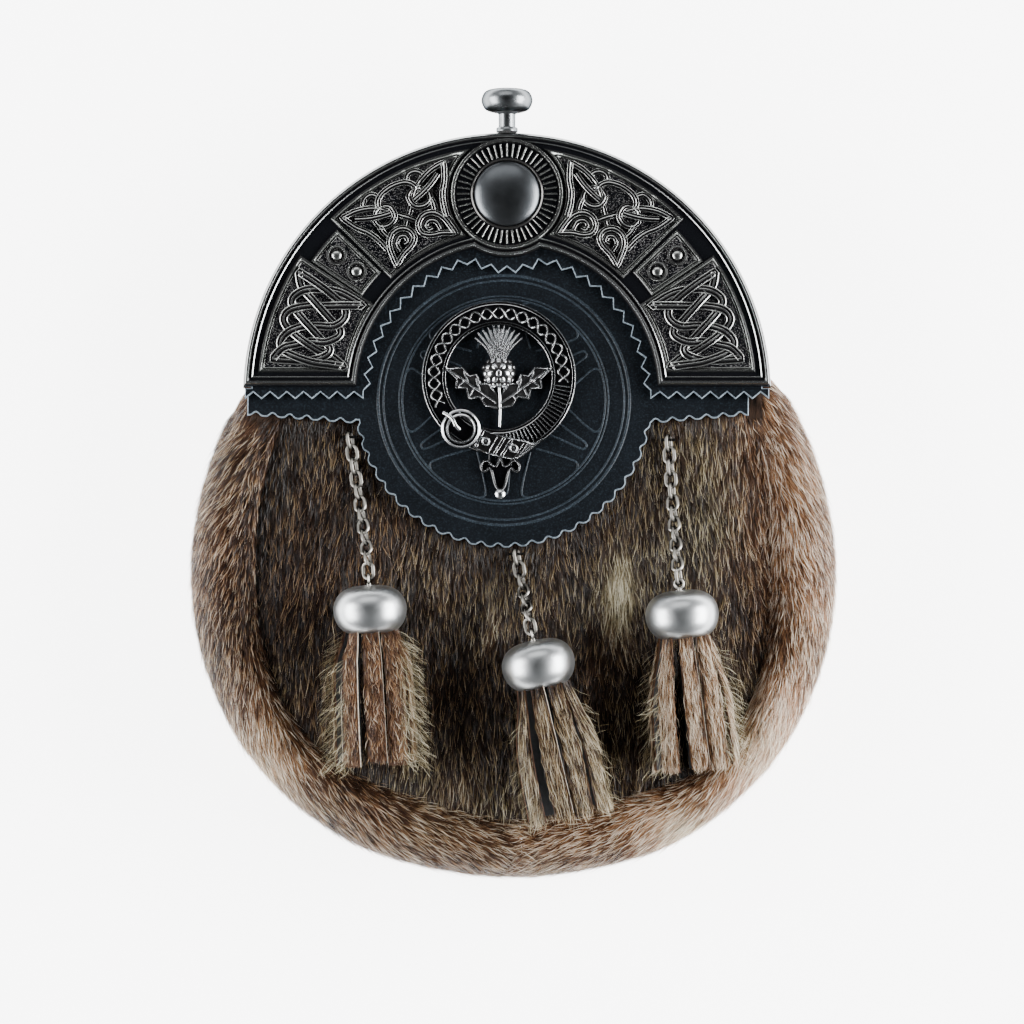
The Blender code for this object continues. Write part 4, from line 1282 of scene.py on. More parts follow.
        # Hide shows inside the seam, outside the flap's tongue and below its shoulders
        beyond = np.hypot(x + 1.0, y + 1.1) - 41.0
        open_hide = (inset > np.where(x < 0, 0.7, 0.1)) | (np.abs(turn) > 126.0)
        open_hide &= (beyond > -2.5) & (np.abs(x) < 77.0 + 0.3 * np.minimum(-5.0 - y, 0.0))
        x, y, inset, beyond = (v[open_hide][:self.front_hairs] for v in (x, y, inset, beyond))
        roots = np.stack([x, y, front_height(x, y)], 1)
        step = 0.5
        dx = (front_height(x + step, y) - front_height(x - step, y)) / (2 * step)
        dy = (front_height(x, y + step) - front_height(x, y - step)) / (2 * step)
        normals = unit(np.stack([-dx, -dy, np.ones_like(x)], 1))
        drift = 0.1 * x / 60.0 + 0.1 * ripple(x, y, 20.0, 3) + 0.1 * ripple(x, y, 5.0, 4)
        nap = np.stack([drift, -np.ones_like(x), dx * drift - dy], 1)
        coat = coat_of(x, y, *self.front_coat, 7)
        # Painted shade: the hair darkens within a few millimetres of the seam, under the roll,
        # except at the upper right, where it takes on the roll's lighter, warmer colour
        blended = np.clip((x - 30.0) / 20.0, 0, 1) * np.clip((y + 75.0) / 25.0, 0, 1)
        coat[:, 0] += (0.46 * blended - 0.24) * np.exp(-inset / 3.5)
        coat[:, 1] += 0.6 * blended * np.exp(-inset / 8.0)
        lengths = 0.6 + 0.4 * np.clip(inset / 6.0, 0, 1)
        rises = np.clip(np.minimum(beyond, -4.5 - y) / 6.0, 0.1, 1.0)
        hair = hair_piece("front_hair", roots, normals, nap, self.front_groom, coat, 6, lengths,
                          rises)
        settle(hair, BODY, [Finish.HAIR], sharp=0.0)

    def build(self) -> None:
        """Build the whole body."""
        self.roll("left", -SHOULDER_TURN, SEAM_TURN - SEAM_PLAY)
        self.roll("right", SEAM_TURN + SEAM_PLAY, SHOULDER_TURN)
        self.front()
        for node in ("back_panel", "belt_loop_left", "belt_loop_right"):
            dress(frame["nodes"][node], Finish.BACK)


# ---- Cantle ----
# Half a raised line's section, foot to middle, in shares of its half width and its height
GROOVED = ((-1.0, 0.3), (-0.9, 0.8), (-0.76, 0.95), (-0.6, 0.6), (-0.42, 0.15), (-0.3, 0.4),
           (-0.15, 0.92), (0.0, 1.0))
ROOF = ((-1.0, 0.1), (-0.12, 1.0))
ROUND = ((-1.0, 0.3), (-0.7, 0.8), (-0.3, 1.0))


def raised(half: Sequence[Row], width: float, high: float, sunk: float = 0.3) -> Path:
    """Closed profile of a raised line, from shares of its half section."""
    left = [(-width / 2.0, -sunk), *[(x * width / 2.0, z * high) for x, z in half]]
    return left + [(-x, z) for x, z in left[::-1] if x]


def rounded(width: float, high: float) -> Path:
    """Profile of a plain rounded bead."""
    return raised(ROUND, width, high)


@dataclass
class Cantle:
    """The cast arch with its borders, knotwork panels and medallion."""
    radius: float = 73.8
    foot: float = 2.1
    arch: float = 42.1
    bump: float = 17.9
    plate_top: float = 5.9
    outer_steps: int = 120      # of the outline's outer arc
    knot_axis: float = 119.2
    knot_out: float = 57.0      # from the arc's centre to the knot's
    strand_level: float = 6.25
    rays: int = 48
    # distance out of the two bosses, and their turn
    boss_spots: Rows = ((61.5, 140.8), (54.3, 140.8))
    # inner, outer, start_deg, end_deg, floor, scoop of the left side's panels
    panels: tuple[tuple[Any, ...], ...] = (
        (44.9, 69.6, 175.0, 146.2, 6.0, None), (49.0, 66.2, 145.8, 135.9, None, None),
        (45.8, 69.7, 135.1, 105.0, None, 16.4))
    # Courses of the plait from corner to corner
    plait_runs: tuple[Rows, ...] = (
        ((-58.2, 34.2), (-53.5, 31.1), (-48.4, 27.2), (-45.4, 24.1), (-45.4, 21.0),
         (-48.4, 18.8), (-52.9, 19.0), (-57.4, 18.8), (-61.3, 17.1), (-63.3, 14.6),
         (-62.7, 12.3), (-59.9, 10.6), (-54.6, 8.7), (-49.6, 8.0), (-45.4, 7.4)),
        ((-45.4, 7.4), (-49.0, 10.4), (-52.9, 12.0), (-57.7, 15.2), (-61.6, 18.8),
         (-62.4, 21.3), (-60.5, 23.5), (-55.7, 24.6), (-51.0, 24.6), (-45.4, 24.6), (-40.3, 24.6)),
        ((-40.3, 24.6), (-45.9, 28.0), (-50.7, 29.2), (-55.7, 29.2), (-59.1, 27.7),
         (-60.2, 25.5), (-58.2, 22.1), (-52.1, 15.4), (-49.6, 12.9), (-50.1, 10.9),
         (-53.5, 9.5), (-58.0, 9.2), (-65.6, 9.6)),
        ((-65.6, 9.6), (-62.7, 12.6), (-59.1, 13.7), (-54.9, 14.6), (-50.7, 14.3),
         (-47.0, 16.0), (-46.8, 18.2), (-49.3, 20.7), (-54.6, 26.6), (-57.1, 29.4),
         (-58.0, 32.0), (-58.2, 34.2)))
    # Courses of one half of the knot, as across and up: stem and leaf edge down to the other
    # drop, its rib, ring, hook, drop, spiral and short stem
    knot_runs: tuple[tuple[tuple[Rows, ...], bool], ...] = (
        ((((9.5, -5.4), (10.4, -1.8), (11.9, 1.4), (14.2, 4.4), (16.2, 8.5)),
          ((16.2, 8.5), (11.9, 8.3), (7.4, 6.8), (4.9, 4.8), (2.7, 2.5), (0.4, 0.1),
           (-2.2, -2.8))), False),
        ((((13.3, 6.5), (10.0, 4.9), (6.6, 3.8), (3.8, 3.2)),), False),
        ((((6.9, 5.4), (4.7, 5.9), (2.9, 4.6), (3.1, 1.8), (5.4, 0.5), (7.9, 1.2), (8.4, 3.6),
           (6.9, 5.4)),), True),
        ((((4.6, 9.0), (5.9, 10.4), (7.9, 10.3), (9.3, 8.9), (9.1, 7.4)),), False),
        ((((9.4, -10.6), (6.2, -8.8), (3.2, -7.8), (1.2, -6.1), (1.4, -3.6), (3.6, -1.9),
           (6.5, -2.3), (8.6, -5.0), (9.4, -10.6)),), True),
        ((((6.6, -7.6), (6.5, -5.2), (4.9, -3.9), (3.2, -4.5), (3.2, -6.2), (4.6, -6.4)),), False),
        ((((8.3, 1.2), (8.1, -0.9), (7.4, -2.9)),), False))
    # inset from the outline and height of the border's section, from its underside inwards
    border: Rows = (
        (1.8, 4.3), (1.8, 0.3), (0.0, 0.3), (0.0, 4.6), (0.1, 5.4), (0.35, 6.2), (0.75, 6.7),
        (1.2, 6.65), (1.5, 6.3), (1.7, 5.95), (2.15, 5.95), (2.22, 6.35), (2.42, 6.6),
        (2.65, 6.45), (2.75, 5.9))

    def edge(self, inset: float) -> Path:
        """The cantle's outline moved inwards all round.

        Args:
            inset: How far it is moved.

        Returns:
            The outline, with as many points at every inset.
        """
        outer, foot = self.radius - inset, self.foot + inset
        arch, bump = self.arch + inset, self.bump - inset
        low = math.degrees(math.asin(foot / outer))
        lean = math.degrees(math.acos(
            (arch ** 2 + MEDAL_Y ** 2 - bump ** 2) / (2 * arch * MEDAL_Y)))
        corner = polar(0.0, 0.0, arch, 90.0 - lean)
        swing = math.degrees(math.atan2(corner[1] - MEDAL_Y, corner[0]))
        in_low = math.degrees(math.asin(foot / arch))
        right = arc(0.0, 0.0, arch, in_low, 90.0 - lean, 28)
        middle = arc(0.0, MEDAL_Y, bump, swing, -180.0 - swing, 18)[1:-1]
        left = arc(0.0, 0.0, arch, 90.0 + lean, 180.0 - in_low, 28)
        rim = arc(0.0, 0.0, outer, low, 180.0 - low, self.outer_steps)
        return rim + (right + middle + left)[::-1]

    def fan(self, panel: Sequence[Any], inset: float) -> Path:
        """Outline of a panel, moved inwards.

        Args:
            panel: A row of the panels.
            inset: How far the outline is moved.

        Returns:
            The outline, with as many points at every inset.
        """
        inner, outer, start, end, floor, scoop = panel
        inner, outer = inner + inset, outer - inset
        if floor is not None:
            low = [180.0 - math.degrees(math.asin((floor + inset) / r)) for r in (inner, outer)]
        else:
            low = [start - math.degrees(math.asin(inset / r)) for r in (inner, outer)]
        if scoop is None:
            high = [end + math.degrees(math.asin(inset / r)) for r in (inner, outer)]
            side = []
        else:
            reach = scoop + inset
            high = [90.0 + math.degrees(math.acos(
                (r ** 2 + MEDAL_Y ** 2 - reach ** 2) / (2.0 * r * MEDAL_Y)))
                for r in (inner, outer)]
            turns = [math.degrees(math.atan2(y - MEDAL_Y, x)) % 360.0 for x, y in (
                polar(0.0, 0.0, inner, high[0]), polar(0.0, 0.0, outer, high[1]))]
            side = arc(0.0, MEDAL_Y, reach, turns[1], turns[0], 12)[1:-1]
        return (arc(0.0, 0.0, outer, low[1], high[1], 18) + side
                + arc(0.0, 0.0, inner, high[0], low[0], 14))

    def casting(self) -> Piece:
        """The plate and its borders, one shell with the rim that stands round them.

        Returns:
            The casting.
        """
        rings = [[(x, y, high) for x, y in self.edge(inset)] for inset, high in self.border]
        shell = worn(ringed("cantle_shell", rings), 6.0, 6.6)
        plate = worn(slab("cantle_plate", [self.edge(2.7)], 4.3, self.plate_top), 9.0, 10.0)
        under = worn(slab("cantle_under", [self.edge(1.75)], 4.25, 4.35), 9.0, 10.0)
        return joined("cantle_casting", [shell, plate, under])

    def frames(self) -> Piece:
        """A raised frame round each panel, with a fine second line inside it.

        Returns:
            The frames.
        """
        section = ((-0.1, 5.7), (-0.1, 6.1), (0.3, 6.65), (0.5, 6.65), (0.9, 6.1), (0.94, 5.95),
                   (1.02, 5.95), (1.24, 6.3), (1.46, 6.0), (1.46, 5.7))
        parts = []
        for panel in self.panels:
            rings = [[(x, y, high) for x, y in self.fan(panel, inset)] for inset, high in section]
            for side in (1.0, -1.0):
                twin = [[(side * x, y, z) for x, y, z in ring] for ring in rings]
                parts.append(worn(ringed("frame", twin), 5.75, 6.15))
        return joined("cantle_frames", parts)

    def grounds(self) -> Piece:
        """The stippled floor of each panel.

        Returns:
            The floors.
        """
        parts = [slab("ground", [[(side * x, y) for x, y in self.fan(panel, 1.3)]], 5.6, 6.02)
                 for panel in self.panels for side in (1.0, -1.0)]
        return joined("cantle_grounds", parts)

    def plait(self) -> list[tuple[Array, bool]]:
        """The foot panel's plait: one endless strand with a point in each corner."""
        line = [flowing(run, 7)[:-1] for run in self.plait_runs]
        return [(np.vstack(line), True)]

    def knot_spot(self, points: Any) -> Array:
        """Turn drawn places to the knot panel's own.

        Args:
            points: Places across the panel's axis and up it.

        Returns:
            The places on the cantle.
        """
        line = np.asarray(points, float)
        axis = math.radians(self.knot_axis)
        up = np.array([math.cos(axis), math.sin(axis)])
        over = np.array([math.sin(axis), -math.cos(axis)])
        return (self.knot_out + line[:, 1:2]) * up + line[:, :1] * over

    def knot(self) -> list[tuple[Array, bool]]:
        """The winged knot: two leaves through rings, an arch with two curls, two drops.

        Returns:
            Each strand, and whether it meets itself.
        """
        strands = []
        for side in (-1.0, 1.0):
            for runs, closed in self.knot_runs:
                parts = [flowing(run, 7) for run in runs]
                line = np.vstack([part[:-1] for part in parts[:-1]] + [
                    parts[-1][:-1] if closed else parts[-1]])
                strands.append((line * np.array([side, 1.0]), closed))
        arch = flowing([(6.0, 5.6), (5.4, 7.5), (3.5, 9.0), (0.0, 9.6), (-3.5, 9.0), (-5.4, 7.5),
                        (-6.0, 5.6)], 7)
        strands.append((arch, False))
        return [(self.knot_spot(line), closed) for line, closed in strands]

    def strands(self) -> Piece:
        """All strands of the panels, woven over and under.

        Returns:
            The strands.
        """
        parts = []
        for drawn, width in ((self.plait(), 2.5), (self.knot(), 1.85)):
            woven = interlaced([line for line, _ in drawn], [around for _, around in drawn], 0.46)
            for line, (_, around) in zip(woven, drawn):
                line[:, 2] += self.strand_level
                for side in (1.0, -1.0):
                    parts.append(sweep("strand", line * (side, 1.0, 1.0),
                                       raised(GROOVED, width, 0.72, 0.5), around))
        return joined("cantle_knotwork", parts)

    def bosses(self) -> Piece:
        """Two ringed bosses in each small panel.

        Returns:
            The bosses.
        """
        ring = [(3.0, -0.2), (2.95, 0.35), (2.7, 0.75), (2.35, 0.8), (2.05, 0.45), (1.95, 0.0),
                (1.6, 0.0), (1.5, 0.4), (1.2, 0.7), (0.7, 0.9), (0.0, 0.95), (0.0, -0.2)]
        parts = []
        for spot in self.boss_spots:
            x, y = polar(0.0, 0.0, *spot)
            for side in (1.0, -1.0):
                boss = worn(lathe("boss", ring, 32), 0.2, 0.85)
                parts.append(moved(boss, side * x, y, 5.95))
        return joined("cantle_bosses", parts)

    def medallion(self) -> None:
        """Rays round a polished dome, inside a beaded ring."""
        bar = sweep("ray", [(10.4, 0.0, 5.95), (11.0, 0.0, 6.0), (13.6, 0.0, 6.0),
                            (14.1, 0.0, 5.95)], rounded(0.68, 0.6))
        middle = Matrix.Translation((0.0, MEDAL_Y, 0.0))
        rays = [copied(bar, middle @ Matrix.Rotation(math.tau * number / self.rays, 4, "Z"))
                for number in range(self.rays)]
        dropped(bar)
        ring = lathe("ring", [(14.5, -0.2), (14.6, 0.7), (14.9, 1.15), (15.4, 1.15), (15.75, 0.7),
                              (15.9, -0.2)], 96)
        collar = lathe("collar", [(9.3, -0.2), (9.4, 0.75), (9.75, 1.0), (10.1, 0.75),
                                  (10.2, -0.2)], 96)
        for part, high in ((ring, 1.0), (collar, 1.9)):
            moved(worn(part, 0.2, high), 0.0, MEDAL_Y, self.plate_top)
        settle(joined("medallion_rays", [*rays, ring, collar]), FRONT,
               [Finish.KNOTWORK])
        rim, top, foot = 9.3, 3.4, -0.3
        crown = [(rim * math.sin(a), top - 3.0 * (1 - math.cos(a)) ** 0.9)
                 for a in np.linspace(0.12, math.pi / 2, 16)]
        profile = [(0.0, top), *crown, (rim, foot), (0.0, foot)]
        dome = moved(lathe("medallion_dome", profile, 96), 0.0, MEDAL_Y, self.plate_top)
        settle(dome, FRONT, [Finish.DOME])

    def build(self) -> None:
        """Build the whole cantle."""
        for piece, finish, nodes in (
                (self.casting(), Finish.CANTLE, ["cantle"]), (self.frames(), Finish.KNOTWORK, []),
                (self.grounds(), Finish.GROUND, []), (self.strands(), Finish.KNOTWORK, []),
                (self.bosses(), Finish.KNOTWORK, [])):
            settle(piece, FRONT, [finish], nodes)
        self.medallion()


# ---- Leather on the front ----
def edged(piece: Piece) -> Piece:
    """Give a sheet's cut edge its own slot: every face that isn't level.

    Args:
        piece: The sheet.

    Returns:
        The same piece.
    """
    for face in piece.data.polygons:
        face.material_index = 0 if abs(face.normal.z) > 0.95 else 1
    return piece


@dataclass
class FrontLeather:
    """The pinked backing and the scalloped flap with its embossing."""
    pitch: float = 4.75
    tongue: Row = (-1.0, -1.1, 41.3)
    tool: Row = (-0.9, -1.4)
    # radius and width of each embossed ring
    rings: Rows = ((28.4, 0.6), (29.3, 0.5), (33.7, 0.6), (35.2, 0.8))
    # half width and distance out along a spoke's side and along its middle rib
    spoke: tuple[Rows, ...] = (
        ((7.4, 14.6), (5.9, 20.5), (5.0, 25.4), (5.4, 27.0), (7.0, 27.5)),
        ((2.2, 15.0), (1.6, 20.0), (1.0, 25.6), (0.0, 26.6)))

    def backing(self) -> None:
        """Build the pinked leather round the cantle's inner and lower edges."""
        wide, low, radius, top = 73.3, -0.3, 71.4, 1.7
        inner = Cantle(arch=39.2, bump=21.2, foot=low).edge(0.0)[:Cantle.outer_steps:-1]
        cut = pinked([(wide, low), *inner, (-wide, low)], self.pitch, 1.9, False)
        start = math.degrees(math.asin(top / radius))
        outer = arc(0.0, 0.0, radius, start, 180.0 - start, 60)
        loop = [*cut, (-wide, top), *outer[::-1], (wide, top)]
        piece = edged(slab("backing_leather", [loop], 2.4, 4.0, 0.25))
        settle(piece, FRONT, [Finish.BACKING, Finish.EDGE], ["cantle_backing"],
               sharp=20.0)

    def flap(self) -> None:
        """Build the flap with its scalloped edge."""
        x, y, radius = self.tongue
        root = math.degrees(math.asin((y + 7.5) / radius))
        tongue = arc(x, y, radius, -root, -180.0 + root, 120)
        cut = pinked([(67.6, -5.2), *tongue, (-72.6, -5.2)], self.pitch, 1.1, True)
        top = 1.5
        low = math.degrees(math.asin(top / BEHIND))
        loop = [*cut, (-72.6, top), *arc(0.0, 0.0, BEHIND, 180.0 - low, low, 60), (67.6, top)]
        piece = edged(slab("flap_leather", [loop], 0.3, 2.1, 0.27))
        settle(piece, FRONT, [Finish.FLAP, Finish.EDGE], ["flap"], sharp=20.0)

    def embossing(self) -> None:
        """Raise the tool's rings and its six spokes, each a band that narrows outwards."""
        x, y, level = *self.tool, 2.07
        parts = []
        for radius, wide in self.rings:
            path = [(*p, level) for p in arc(x, y, radius, 0.0, 360.0, 180)[:-1]]
            parts.append(sweep("ring", path, rounded(wide, 0.22), True))
        for angle in np.radians([-90.0, -30.0, 30.0, 90.0, 150.0, 210.0]):
            along = np.array([math.cos(angle), math.sin(angle)])
            aside = np.array([-along[1], along[0]])
            for runs in self.spoke:
                for side in (-1.0, 1.0):
                    flat = [(x, y) + out * along + side * off * aside for off, out in runs]
                    line = flowing([(*spot, level) for spot in flat], 6)
                    parts.append(sweep("spoke", line, rounded(0.6, 0.2)))
        settle(joined("flap_embossing", parts), FRONT, [Finish.EMBOSS])

    def build(self) -> None:
        """Build the leather on the front."""
        self.backing()
        self.flap()
        self.embossing()


# ---- Badge and knob ----
@dataclass
class Badge:
    """A buckled strap round a thistle, with a leaved drop."""
    x: float = -2.3
    y: float = 4.8
    level: float = 2.4
    outer: float = 21.6
    inner: float = 14.7
    buckle_at: Row = (-12.9, -9.8)
    eyelets_at: Rows = ((-5.9, -13.4), (1.9, -15.3))
    leaf: Rows = (
        (0.0, -9.0), (3.6, -8.2), (5.2, -5.6), (8.4, -6.2), (9.0, -3.2), (12.2, -3.0),
        (11.8, -0.4), (15.0, 2.6), (10.2, 2.8), (8.2, 0.4), (6.2, 0.9), (5.0, -1.8), (2.8, -2.0),
        (0.0, -5.2))
    # a leaf's middle vein and its side veins, with their heights
    veins: tuple[Rows, ...] = (
        ((0.6, -7.4, 1.35), (6.0, -3.6, 1.45), (13.8, 2.0, 1.35)),
        ((4.0, -5.2, 1.35), (5.0, -6.4, 1.3)), ((7.0, -3.0, 1.35), (8.2, -5.4, 1.3)),
        ((9.6, -1.2, 1.35), (11.4, -2.6, 1.3)), ((5.4, -3.9, 1.35), (6.2, -0.4, 1.3)),
        ((8.6, -1.8, 1.35), (9.6, 1.6, 1.3)))
    stem: Rows = ((0.2, -14.0, 0.9), (0.4, -8.0, 1.3), (0.0, -1.4, 1.2))
    tail_over: Rows = ((-7.4, -9.7), (-3.2, -11.4), (1.1, -12.6), (5.0, -13.4),
                                  (7.3, -14.0), (10.1, -12.6))
    tail_under: Rows = ((-9.5, -14.8), (-6.0, -16.4), (-2.0, -17.5), (2.0, -18.1),
                                   (4.2, -17.3), (9.2, -13.3))
    drop_at: Row = (-1.9, -17.6)
    drop: Rows = (
        (0.0, 0.2), (0.5, -1.4), (1.1, -2.6), (2.2, -2.3), (3.4, -1.2), (4.7, -1.3), (5.4, -2.6),
        (4.9, -4.0), (3.9, -4.0), (3.4, -3.3), (2.6, -3.6), (2.1, -5.0), (1.6, -7.2), (0.9, -8.8),
        (0.0, -9.4))

    def strap(self) -> list[Piece]:
        """The ring of strap: two double borders, a two-strand plait and ribs between them.

        Returns:
            Its parts.
        """
        o, i = self.outer, self.inner
        edge = [(0.0, 0.0), (0.0, 1.3), (0.08, 1.7), (0.25, 1.85), (0.42, 1.6), (0.52, 1.1),
                (0.84, 1.1), (0.92, 1.45), (1.05, 1.5), (1.15, 1.0)]
        ring = worn(lathe("strap", [(o - a, z) for a, z in edge]
                          + [(i + a, z) for a, z in edge[::-1]], 128), 1.05, 1.65)
        rib = sweep("rib", [(i + 1.2, 0.0, 1.0), (o - 1.2, 0.0, 1.0)], rounded(0.56, 0.75))
        first, last, count = math.radians(-86.0), math.radians(-8.0), 22
        ribs = [copied(rib, Matrix.Rotation(first + (last - first) * n / count, 4, "Z"))
                for n in range(count + 1)]
        dropped(rib)
        middle, turns = (o + i) / 2.0, np.radians(np.linspace(-4.0, 206.0, 400))
        waves = []
        for phase in (0.0, math.pi):
            radius = middle + 1.45 * np.sin(turns * 17.0 + phase)
            waves.append(np.stack([radius * np.cos(turns), radius * np.sin(turns)], 1))
        plait = []
        for line in interlaced(waves, [False, False], 0.2):
            line[:, 2] += 1.2
            plait.append(sweep("plait", line, raised(ROOF, 0.8, 0.42)))
        return [moved(part, self.x, self.y, self.level) for part in (ring, *ribs, *plait)]

    def buckle(self) -> list[Piece]:
        """The ring buckle, its prong and the strap's end with two eyelets.

        Returns:
            Its parts.
        """
        (bx, by), top = self.buckle_at, self.level + 1.95
        ring = worn(lathe("buckle", [
            (5.6, 0.6), (5.6, 2.2), (5.45, 2.6), (5.15, 2.75), (4.88, 2.55), (4.72, 2.1),
            (4.62, 1.5), (4.42, 1.5), (4.3, 2.1), (4.15, 2.5), (3.85, 2.6), (3.6, 2.4),
            (3.45, 2.0), (3.45, 0.6)], 56), 1.6, 2.3)
        moved(ring, bx, by, self.level)
        prong = sweep("prong", flowing([
            (bx - 5.0, by + 4.6, 4.9), (bx - 2.6, by + 3.0, 5.5), (bx - 1.4, by + 0.8, 5.4),
            (bx - 0.2, by - 0.4, 4.8)], 6), rounded(1.1, 0.6))
        over, under = flowing(self.tail_over, 6), flowing(self.tail_under, 6)
        tail = worn(slab("tail", [[*map(tuple, over), *map(tuple, under[::-1])]],
                         self.level + 0.2, self.level + 2.0, 0.1), 0.0, 30.0)
        rails = [sweep("rail", np.column_stack([line, np.full(len(line), top)]),
                       rounded(0.55, 0.6)) for line in (over, under)]
        eyelets = []
        for ex, ey in self.eyelets_at:
            eyelet = lathe("eyelet", [(1.35, -0.1), (1.35, 0.45), (1.1, 0.75), (0.8, 0.45),
                                      (0.55, 0.0), (0.35, 0.45), (0.1, 0.5), (0.1, -0.1)], 24)
            eyelets.append(moved(worn(eyelet, 0.1, 0.5), ex, ey, self.level + 2.0))
        ribs = []
        for share in np.linspace(0.02, 0.98, 19):
            a = over[round(share * (len(over) - 1))]
            b = under[round(share * (len(under) - 1))]
            if min(abs((a + b)[0] / 2.0 - ex) for ex, _ in self.eyelets_at) < 1.5:
                continue
            ends = [(*(a * near + b * far), top) for near, far in ((0.93, 0.07), (0.07, 0.93))]
            ribs.append(sweep("rib", ends, rounded(0.34, 0.3)))
        return [ring, prong, tail, *rails, *eyelets, *ribs]

    def thistle(self) -> list[Piece]:
        """The scaly bulb, its tuft, two spined leaves and the stem.

        Returns:
            Its parts.
        """
        bulb = lathe("bulb", [(0.0, 3.7), *[(4.8 * math.sin(a), 0.5 + 3.2 * math.cos(a)) for a in
                                            np.linspace(0.15, math.pi / 2, 12)], (4.6, 0.1),
                              (0.0, 0.1)], 48)
        parts = [moved(worn(bulb, 0.0, 12.0), 0.0, 1.4, 0.0)]
        for row in range(5):
            turn_up = -0.95 + 0.42 * row
            spots = 5 + row % 2
            for number in range(spots):
                side = (number - (spots - 1) / 2.0) * 0.52
                bpy.ops.mesh.primitive_uv_sphere_add(segments=10, ring_count=6, radius=1.0)
                scale = worn(bpy.context.object, -0.1, 0.75)
                out = Vector((math.sin(side) * math.cos(turn_up), math.sin(turn_up),
                              math.cos(side) * math.cos(turn_up)))
                place = Vector((4.7 * out.x, 1.4 + 4.7 * out.y, 0.5 + 3.2 * out.z))
                spin = out.to_track_quat("Z", "Y").to_matrix().to_4x4()
                scale.data.transform(Matrix.Translation(place) @ spin @ Matrix.Diagonal(
                    (0.82, 1.15, 0.36, 1.0)))
                parts.append(scale)
        for number in range(19):
            share = (number - 9) / 9.0
            high = 13.6 - 2.6 * abs(share) ** 1.6 + (0.9 if number % 2 else 0.0)
            root = (1.9 * share, 5.0, 2.0)
            tip = (6.6 * share, high, 2.6 - 0.6 * abs(share))
            middle = ((root[0] + tip[0]) * 0.42, (root[1] + tip[1]) * 0.5, 2.9)
            parts.append(sweep("floret", flowing([root, middle, tip], 5), rounded(0.58, 0.6)))
        for side in (1.0, -1.0):
            outline = np.array(self.leaf) * np.array([side, 1.0])
            parts.append(worn(slab("leaf", [list(map(tuple, outline))], 0.2, 1.6, 0.3), 0.3, 2.5))
            rim = np.vstack([even(outline[k:k + 2], 4)[:-1] for k in range(len(outline) - 1)])
            rim = rim * 0.97 + outline.mean(0) * 0.03
            parts.append(sweep("leaf_edge", np.column_stack([rim, np.full(len(rim), 1.45)]),
                               rounded(0.6, 0.6)))
            for vein in self.veins:
                path = [(side * px, py, pz) for px, py, pz in vein]
                parts.append(sweep("vein", flowing(path, 5), rounded(0.7, 0.75)))
        parts.append(sweep("stem", flowing(self.stem, 6), rounded(0.85, 0.7)))
        return [moved(part, self.x, self.y, self.level) for part in parts]

    def pendant(self) -> list[Piece]:
        """The leaved drop under the strap, a thin plate with a bright bead round it.

        Returns:
            Its parts.
        """
        loop = list(self.drop) + [(-x, y) for x, y in self.drop[-2:0:-1]]
        x, y = self.drop_at
        loop = flowing(loop, 4, True) + np.array([x, y])
        body = worn(slab("drop", [list(map(tuple, loop))], self.level + 0.3, self.level + 0.9),
                    self.level, self.level + 30.0)
        bead = sweep("drop_bead", np.column_stack([loop, np.full(len(loop), self.level + 0.9)]),
                     rounded(0.8, 0.9), True)
        ball = worn(lathe("ball", [(0.0, 1.1), (0.9, 0.95), (1.45, 0.4), (1.5, -0.3),
                                   (0.0, -0.3)], 24), -0.3, 0.9)
        moved(ball, x, -28.0, self.level + 1.2)
        bars = [sweep("bar", [(x + aside, end, self.level + 0.6) for end in (-16.4, -19.9)],
                      rounded(0.5, 0.6)) for aside in (-3.0, 3.0)]
        return [body, bead, ball, *bars]

    def build(self) -> None:
        """Build the badge in one piece."""
        parts = [*self.strap(), *self.buckle(), *self.thistle(), *self.pendant()]
        settle(joined("thistle_badge", parts), FRONT, [Finish.BADGE], ["badge"])


@dataclass
class Knob:
    """The turned button on the cantle's top."""
    radius: float = 7.2
    stem: float = 2.35
    high: float = 12.0
    foot: float = 74.1          # where it stands on the cantle's rim
    level: float = 3.6

    def build(self) -> None:
        """Build the knob."""
        low = self.high - 6.2
        head = flowing([(0.01, self.high), (4.2, self.high), (6.3, self.high - 0.7),
                        (self.radius, self.high - 3.0), (6.3, low + 0.9), (4.6, low + 0.1),
                        (self.stem + 0.6, low - 0.1)], 8)
        profile = [(0.0, self.high), *[tuple(p) for p in head[1:]], (self.stem, low - 0.8),
                   (self.stem, 1.3), (2.8, 1.25), (3.0, 1.0), (3.0, 0.1), (0.0, 0.1)]
        piece = lathe("button_knob", profile, 72, upright=False)
        settle(moved(piece, 0.0, self.foot, self.level), FRONT, [Finish.KNOB],
               ["knob"])


